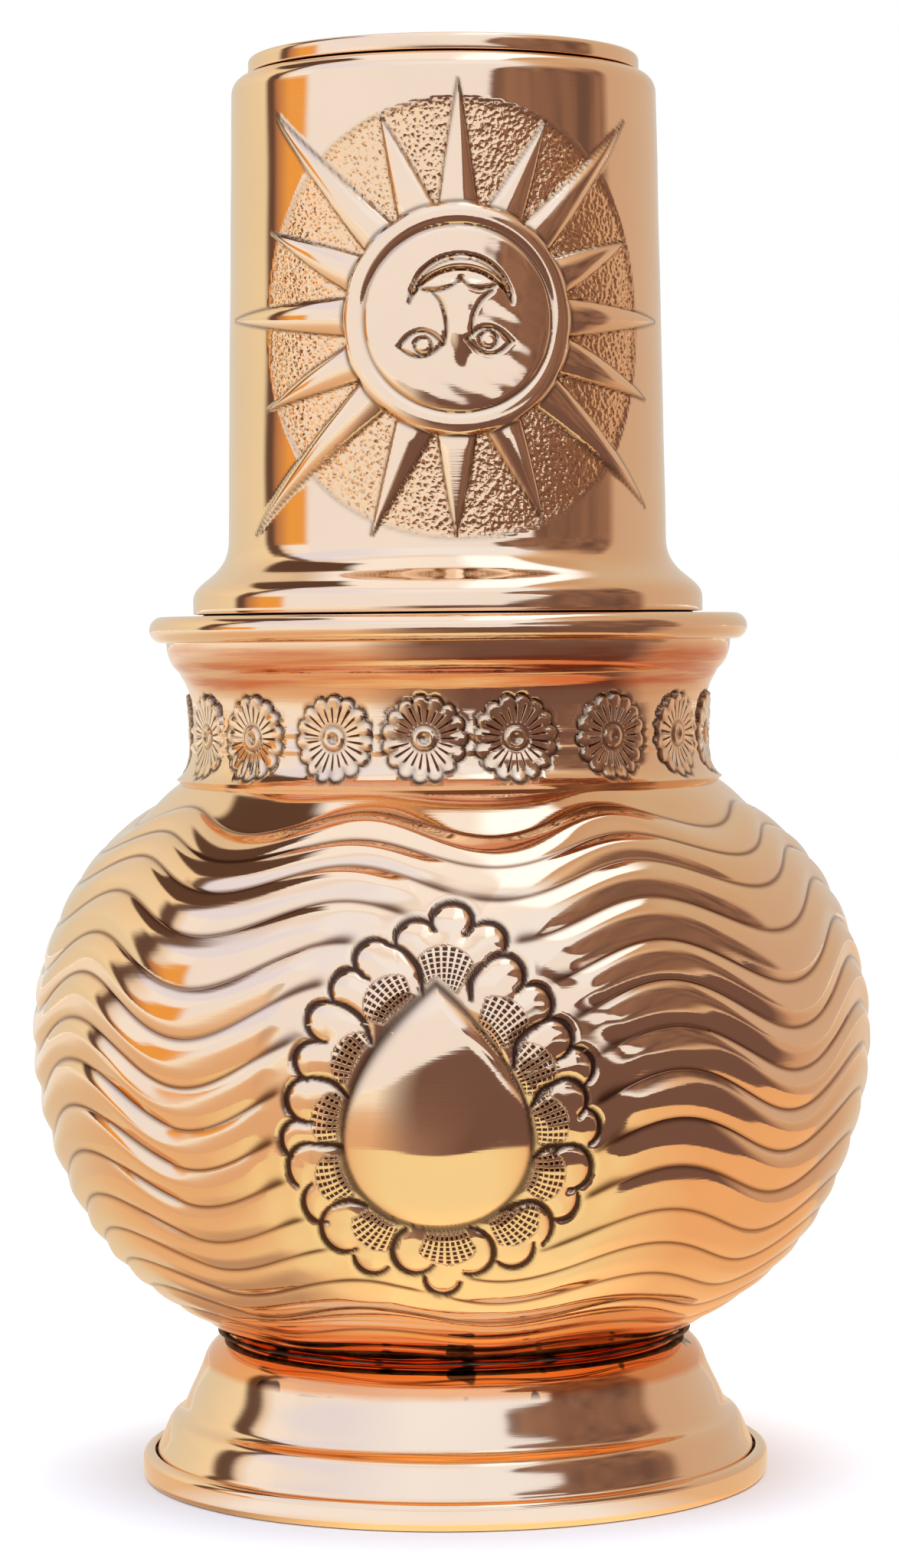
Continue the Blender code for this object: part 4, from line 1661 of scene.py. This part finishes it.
@dataclass
class Studio:
    """Pale floor, soft light and the camera."""

    eye_distance: float = 0.759
    eye_height: float = 0.1488
    roll: float = 0.5               # degrees
    floor_size: float = 8.0
    floor_colour: Colour = (0.90, 0.89, 0.87)
    lamp_power: float = 2.3
    lamp_spread: float = 70.0       # degrees
    shade_edge: Point = (0.064, 0.092)          # reach at which the shade beside the foot ends
    along_edge: Point = (0.60, 0.78)            # how far along it the floor is seen where it whitens
    card_edge: Point = (0.177, 0.185)           # reach at which the lit floor ends and the dark card begins
    far_edge: Point = (0.2, 1.1)                # reach at which the card's far part takes over
    card_far: float = 3.9
    card_lift: float = 0.0002
    screen_radius: float = 0.375
    screen_low: float = 0.001
    screen_height: float = 0.52
    screen_soft: float = 2.0        # half the width of its left edge, in degrees
    screen_left: float = 23.0       # bearing of the screen's left edge
    screen_notch: float = 20.0      # how far that edge steps back halfway up
    screen_lean: float = 27.0       # and how far towards the top
    notch_low: Point = (0.150, 0.185)           # heights between which that notch begins
    notch_high: Point = (0.270, 0.200)          # and ends
    lean_edge: Point = (0.28, 0.45)             # heights between which the edge leans back
    screen_right: Point = (96.0, 88.0)          # bearings between which its right edge fades
    screen_top: Point = (0.49, 0.32)            # heights between which it fades away
    screen_foot: Point = (0.085, 0.125)         # heights between which it appears
    screen_dark: Colour = (0.17, 0.11, 0.105)
    screen_pale: Colour = (0.42, 0.27, 0.21)
    ceiling: Colour = (1.05, 1.25, 1.60)
    glare: Colour = (1.35, 1.75, 2.4)           # brightest part of the ceiling
    beam: Colour = (0.66, 0.50, 0.38)           # edge of the ceiling at the right
    patch: Colour = (0.12, 0.075, 0.06)         # dark patch behind at the left
    upper_walls: tuple[tuple[Glow, float, float], ...] = (      # and the degrees up at which each takes over
        (Glow.LOW_WALL, 9.0, 14.0), (Glow.MIDDLE_WALL, 24.0, 33.0), (Glow.HIGH_WALL, 42.0, 56.0),
    )

    def camera(self) -> None:
        """Put the camera where the photograph was taken from."""
        lens = bpy.data.cameras.new("camera")
        lens.sensor_fit = "VERTICAL"
        lens.sensor_height = SENSOR
        lens.lens = PHOTO_FOCAL / IMAGE_HEIGHT * SENSOR
        lens.clip_start = 0.01
        camera = bpy.data.objects.new("camera", lens)
        bpy.context.collection.objects.link(camera)
        down = math.atan((IMAGE_HEIGHT / 2 - EYE_ROW) / PHOTO_FOCAL)
        tilt = Matrix.Rotation(math.radians(90) - down, 4, "X")
        roll = Matrix.Rotation(math.radians(-self.roll), 4, "Z")
        eye = Matrix.Translation((0.0, -self.eye_distance, self.eye_height))
        camera.matrix_world = eye @ tilt @ roll
        bpy.context.scene.camera = camera

    def floor(self) -> None:
        """Lay a plain pale floor."""
        bpy.ops.object.select_all(action="DESELECT")
        bpy.ops.mesh.primitive_plane_add(size=self.floor_size)
        floor = bpy.context.object
        floor.name = "floor"
        made, nodes = start_material("pale_floor")
        nodes.fill(made.node_tree.nodes["Principled BSDF"], {
            "Base Color": self.floor_colour, "Roughness": 0.7, "Specular IOR Level": 0.2})
        floor.data.materials.append(made)

    def light(self) -> None:
        """Hang a wide soft light over the floor."""
        bpy.ops.object.light_add(type="SUN", location=(0.0, 0.0, 2.0))
        lamp = bpy.context.object
        lamp.data.angle = math.radians(self.lamp_spread)
        lamp.data.energy = self.lamp_power
        lamp.visible_glossy = False
        lamp.visible_camera = False

    @staticmethod
    def mirrored(name: str, height: float) -> Nodes:
        """Turn the mesh that was just added into a card that only shiny metal sees.

        Args:
            name: Name of the card and of its material.
            height: How far its mesh is raised over the floor.

        Returns:
            The material's nodes, still empty.
        """
        card = bpy.context.object
        card.name = name
        bpy.ops.object.mode_set(mode="EDIT")
        bpy.ops.mesh.select_all(action="SELECT")
        bpy.ops.transform.translate(value=(0.0, 0.0, height))
        bpy.ops.object.mode_set(mode="OBJECT")
        made, nodes = start_material(name)
        nodes.tree.nodes.clear()
        card.data.materials.append(made)
        card.visible_camera = False
        card.visible_diffuse = False
        card.visible_shadow = False
        return nodes

    def flag(self) -> None:
        """Lay the card that the metal mirrors in front of the pot: a lit floor, and a dark ring round it."""
        bpy.ops.object.select_all(action="DESELECT")
        bpy.ops.mesh.primitive_circle_add(vertices=96, radius=self.card_far, fill_type="NGON")
        nodes = self.mirrored("dark_card", self.card_lift)
        place = nodes.place()
        share = nodes.calc("MULTIPLY_ADD", nodes.bearing(place), 1.0 / 360.0, 0.5)
        rings = {glow: nodes.ramp(share, glow.stops())
                 for glow in (Glow.FLOOR_SHADE, Glow.FLOOR, Glow.FLOOR_ALONG, Glow.CARD, Glow.FAR_CARD)}
        reach = nodes.add("VectorMath", "Value", {0: place}, operation="LENGTH")
        facing = nodes.add("LayerWeight", "Facing", {})
        near = nodes.mix(nodes.ease(reach, *self.shade_edge), rings[Glow.FLOOR_SHADE], rings[Glow.FLOOR])
        near = nodes.mix(nodes.ease(facing, *self.along_edge), near, rings[Glow.FLOOR_ALONG])
        card = nodes.mix(nodes.ease(reach, *self.far_edge), rings[Glow.CARD], rings[Glow.FAR_CARD])
        both = nodes.mix(nodes.ease(reach, *self.card_edge), near, card)
        nodes.node("OutputMaterial", {"Surface": nodes.add("Emission", "Emission", {"Color": both})})

    def screen(self) -> None:
        """Stand the dark screen that the metal mirrors at the right of the camera."""
        bpy.ops.object.select_all(action="DESELECT")
        bpy.ops.mesh.primitive_cylinder_add(vertices=128, radius=self.screen_radius,
                                            depth=self.screen_height, end_fill_type="NOTHING")
        nodes = self.mirrored("dark_screen", self.screen_low + self.screen_height / 2)
        place = nodes.place()
        degrees = nodes.bearing(place)
        up = nodes.split(place)[2]
        notch = nodes.product(nodes.ease(up, *self.notch_low), nodes.ease(up, *self.notch_high))
        left = nodes.calc("MULTIPLY_ADD", notch, self.screen_notch, self.screen_left)
        left = nodes.calc("MULTIPLY_ADD", nodes.ease(up, *self.lean_edge), self.screen_lean, left)
        past = nodes.calc("SUBTRACT", degrees, left)
        inside = nodes.product(nodes.ease(past, -self.screen_soft, self.screen_soft),
                               nodes.ease(degrees, *self.screen_right), nodes.ease(up, *self.screen_top),
                               nodes.ease(up, *self.screen_foot))
        shades = ((0.40, self.screen_dark), (0.75, self.screen_pale))
        mottle = nodes.ramp(nodes.noise(place, 9.0, 3.0), shades)
        glow = nodes.add("Emission", "Emission", {"Color": mottle})
        clear = nodes.add("BsdfTransparent", "BSDF", {})
        nodes.node("OutputMaterial", {"Surface": nodes.add("MixShader", 0, {0: inside, 1: clear, 2: glow})})

    def world(self) -> None:
        """Light the scene from all round with a soft studio of white, warm and dark walls."""
        world = bpy.data.worlds.new("studio")
        bpy.context.scene.world = world
        world.use_nodes = True
        nodes = Nodes(world.node_tree)
        nodes.tree.nodes.clear()
        aim = nodes.add("TexCoord", "Generated", {})
        across, _, up = nodes.split(aim)
        degrees = nodes.bearing(aim)
        rise = nodes.calc("MULTIPLY", nodes.calc("ARCSINE", up), 180.0 / math.pi)
        share = nodes.calc("MULTIPLY_ADD", degrees, 1.0 / 360.0, 0.5)
        walls = nodes.ramp(share, Glow.LOWEST_WALL.stops())
        for glow, low, high in self.upper_walls:
            walls = nodes.mix(nodes.ease(rise, low, high), walls, nodes.ramp(share, glow.stops()))
        steep = nodes.ease(rise, 48.0, 62.0)
        walls = nodes.mix(nodes.product(steep, nodes.ease(across, 0.66, 0.58)), walls, self.beam)
        overhead = nodes.product(steep, nodes.ease(across, 0.42, 0.37))
        walls = nodes.mix(overhead, walls, self.ceiling)
        walls = nodes.mix(nodes.product(overhead, nodes.ease(across, 0.04, 0.16)), walls, self.glare)
        left = nodes.calc("MULTIPLY_ADD", rise, -0.6, degrees)
        right = nodes.calc("SUBTRACT", degrees, rise)
        patch = nodes.product(nodes.ease(left, -170.0, -165.0), nodes.ease(right, -145.0, -150.0),
                              nodes.ease(rise, 36.0, 40.0), nodes.ease(rise, 68.0, 63.0))
        walls = nodes.mix(patch, walls, self.patch)
        lit = nodes.add("Background", "Background", {"Color": walls})
        plain = nodes.add("Background", "Background", {"Color": (1.0, 1.0, 1.0)})
        seen = nodes.add("LightPath", "Is Camera Ray", {})
        nodes.node("OutputWorld", {"Surface": nodes.add("MixShader", 0, {0: seen, 1: lit, 2: plain})})

    def build(self) -> None:
        """Set up camera, floor and light."""
        self.camera()
        self.floor()
        self.light()
        self.flag()
        self.screen()
        self.world()
        bpy.context.scene.view_settings.view_transform = "Standard"


def main() -> None:
    """Build the pot from the foot up, then the tumbler, the wire's finish and the studio."""
    logging.basicConfig(level=logging.INFO, format="%(name)s %(message)s")
    belly_low, belly_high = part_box("belly_shoulder")
    neck_low, neck_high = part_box("neck_collar")
    rim_low, rim_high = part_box("mouth_rim")
    _, foot_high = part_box("foot_skirt")
    solder_low, solder_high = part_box("foot_solder")
    wall_low, wall_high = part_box("tumbler_wall")
    _, base_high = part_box("tumbler_base")
    Foot(radius=foot_high.x, top=foot_high.z).build()
    Solder(outer=solder_high.x, low=solder_low.z, high=solder_high.z).build()
    Belly(radius=belly_high.x, equator=belly_low.z).build()
    Neck(hem_height=neck_low.z, top_height=neck_high.z).build()
    Rim(seat=wall_low.z - JOINT_GAP, bottom=rim_low.z, radius=rim_high.x, lip_top=rim_high.z).build()
    Tumbler(mouth=wall_low.z, wall_top=wall_high.z, top=base_high.z, mouth_radius=wall_high.x).build()
    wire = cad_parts["foot_rim_wire"]
    wire.data.materials.clear()
    iron = DullMetal(Slot.WIRE.value, (0.22, 0.2, 0.19), (0.08, 0.06, 0.05), 0.5)
    wire.data.materials.append(iron.make())
    Studio().build()


if __name__ == "__main__":
    main()
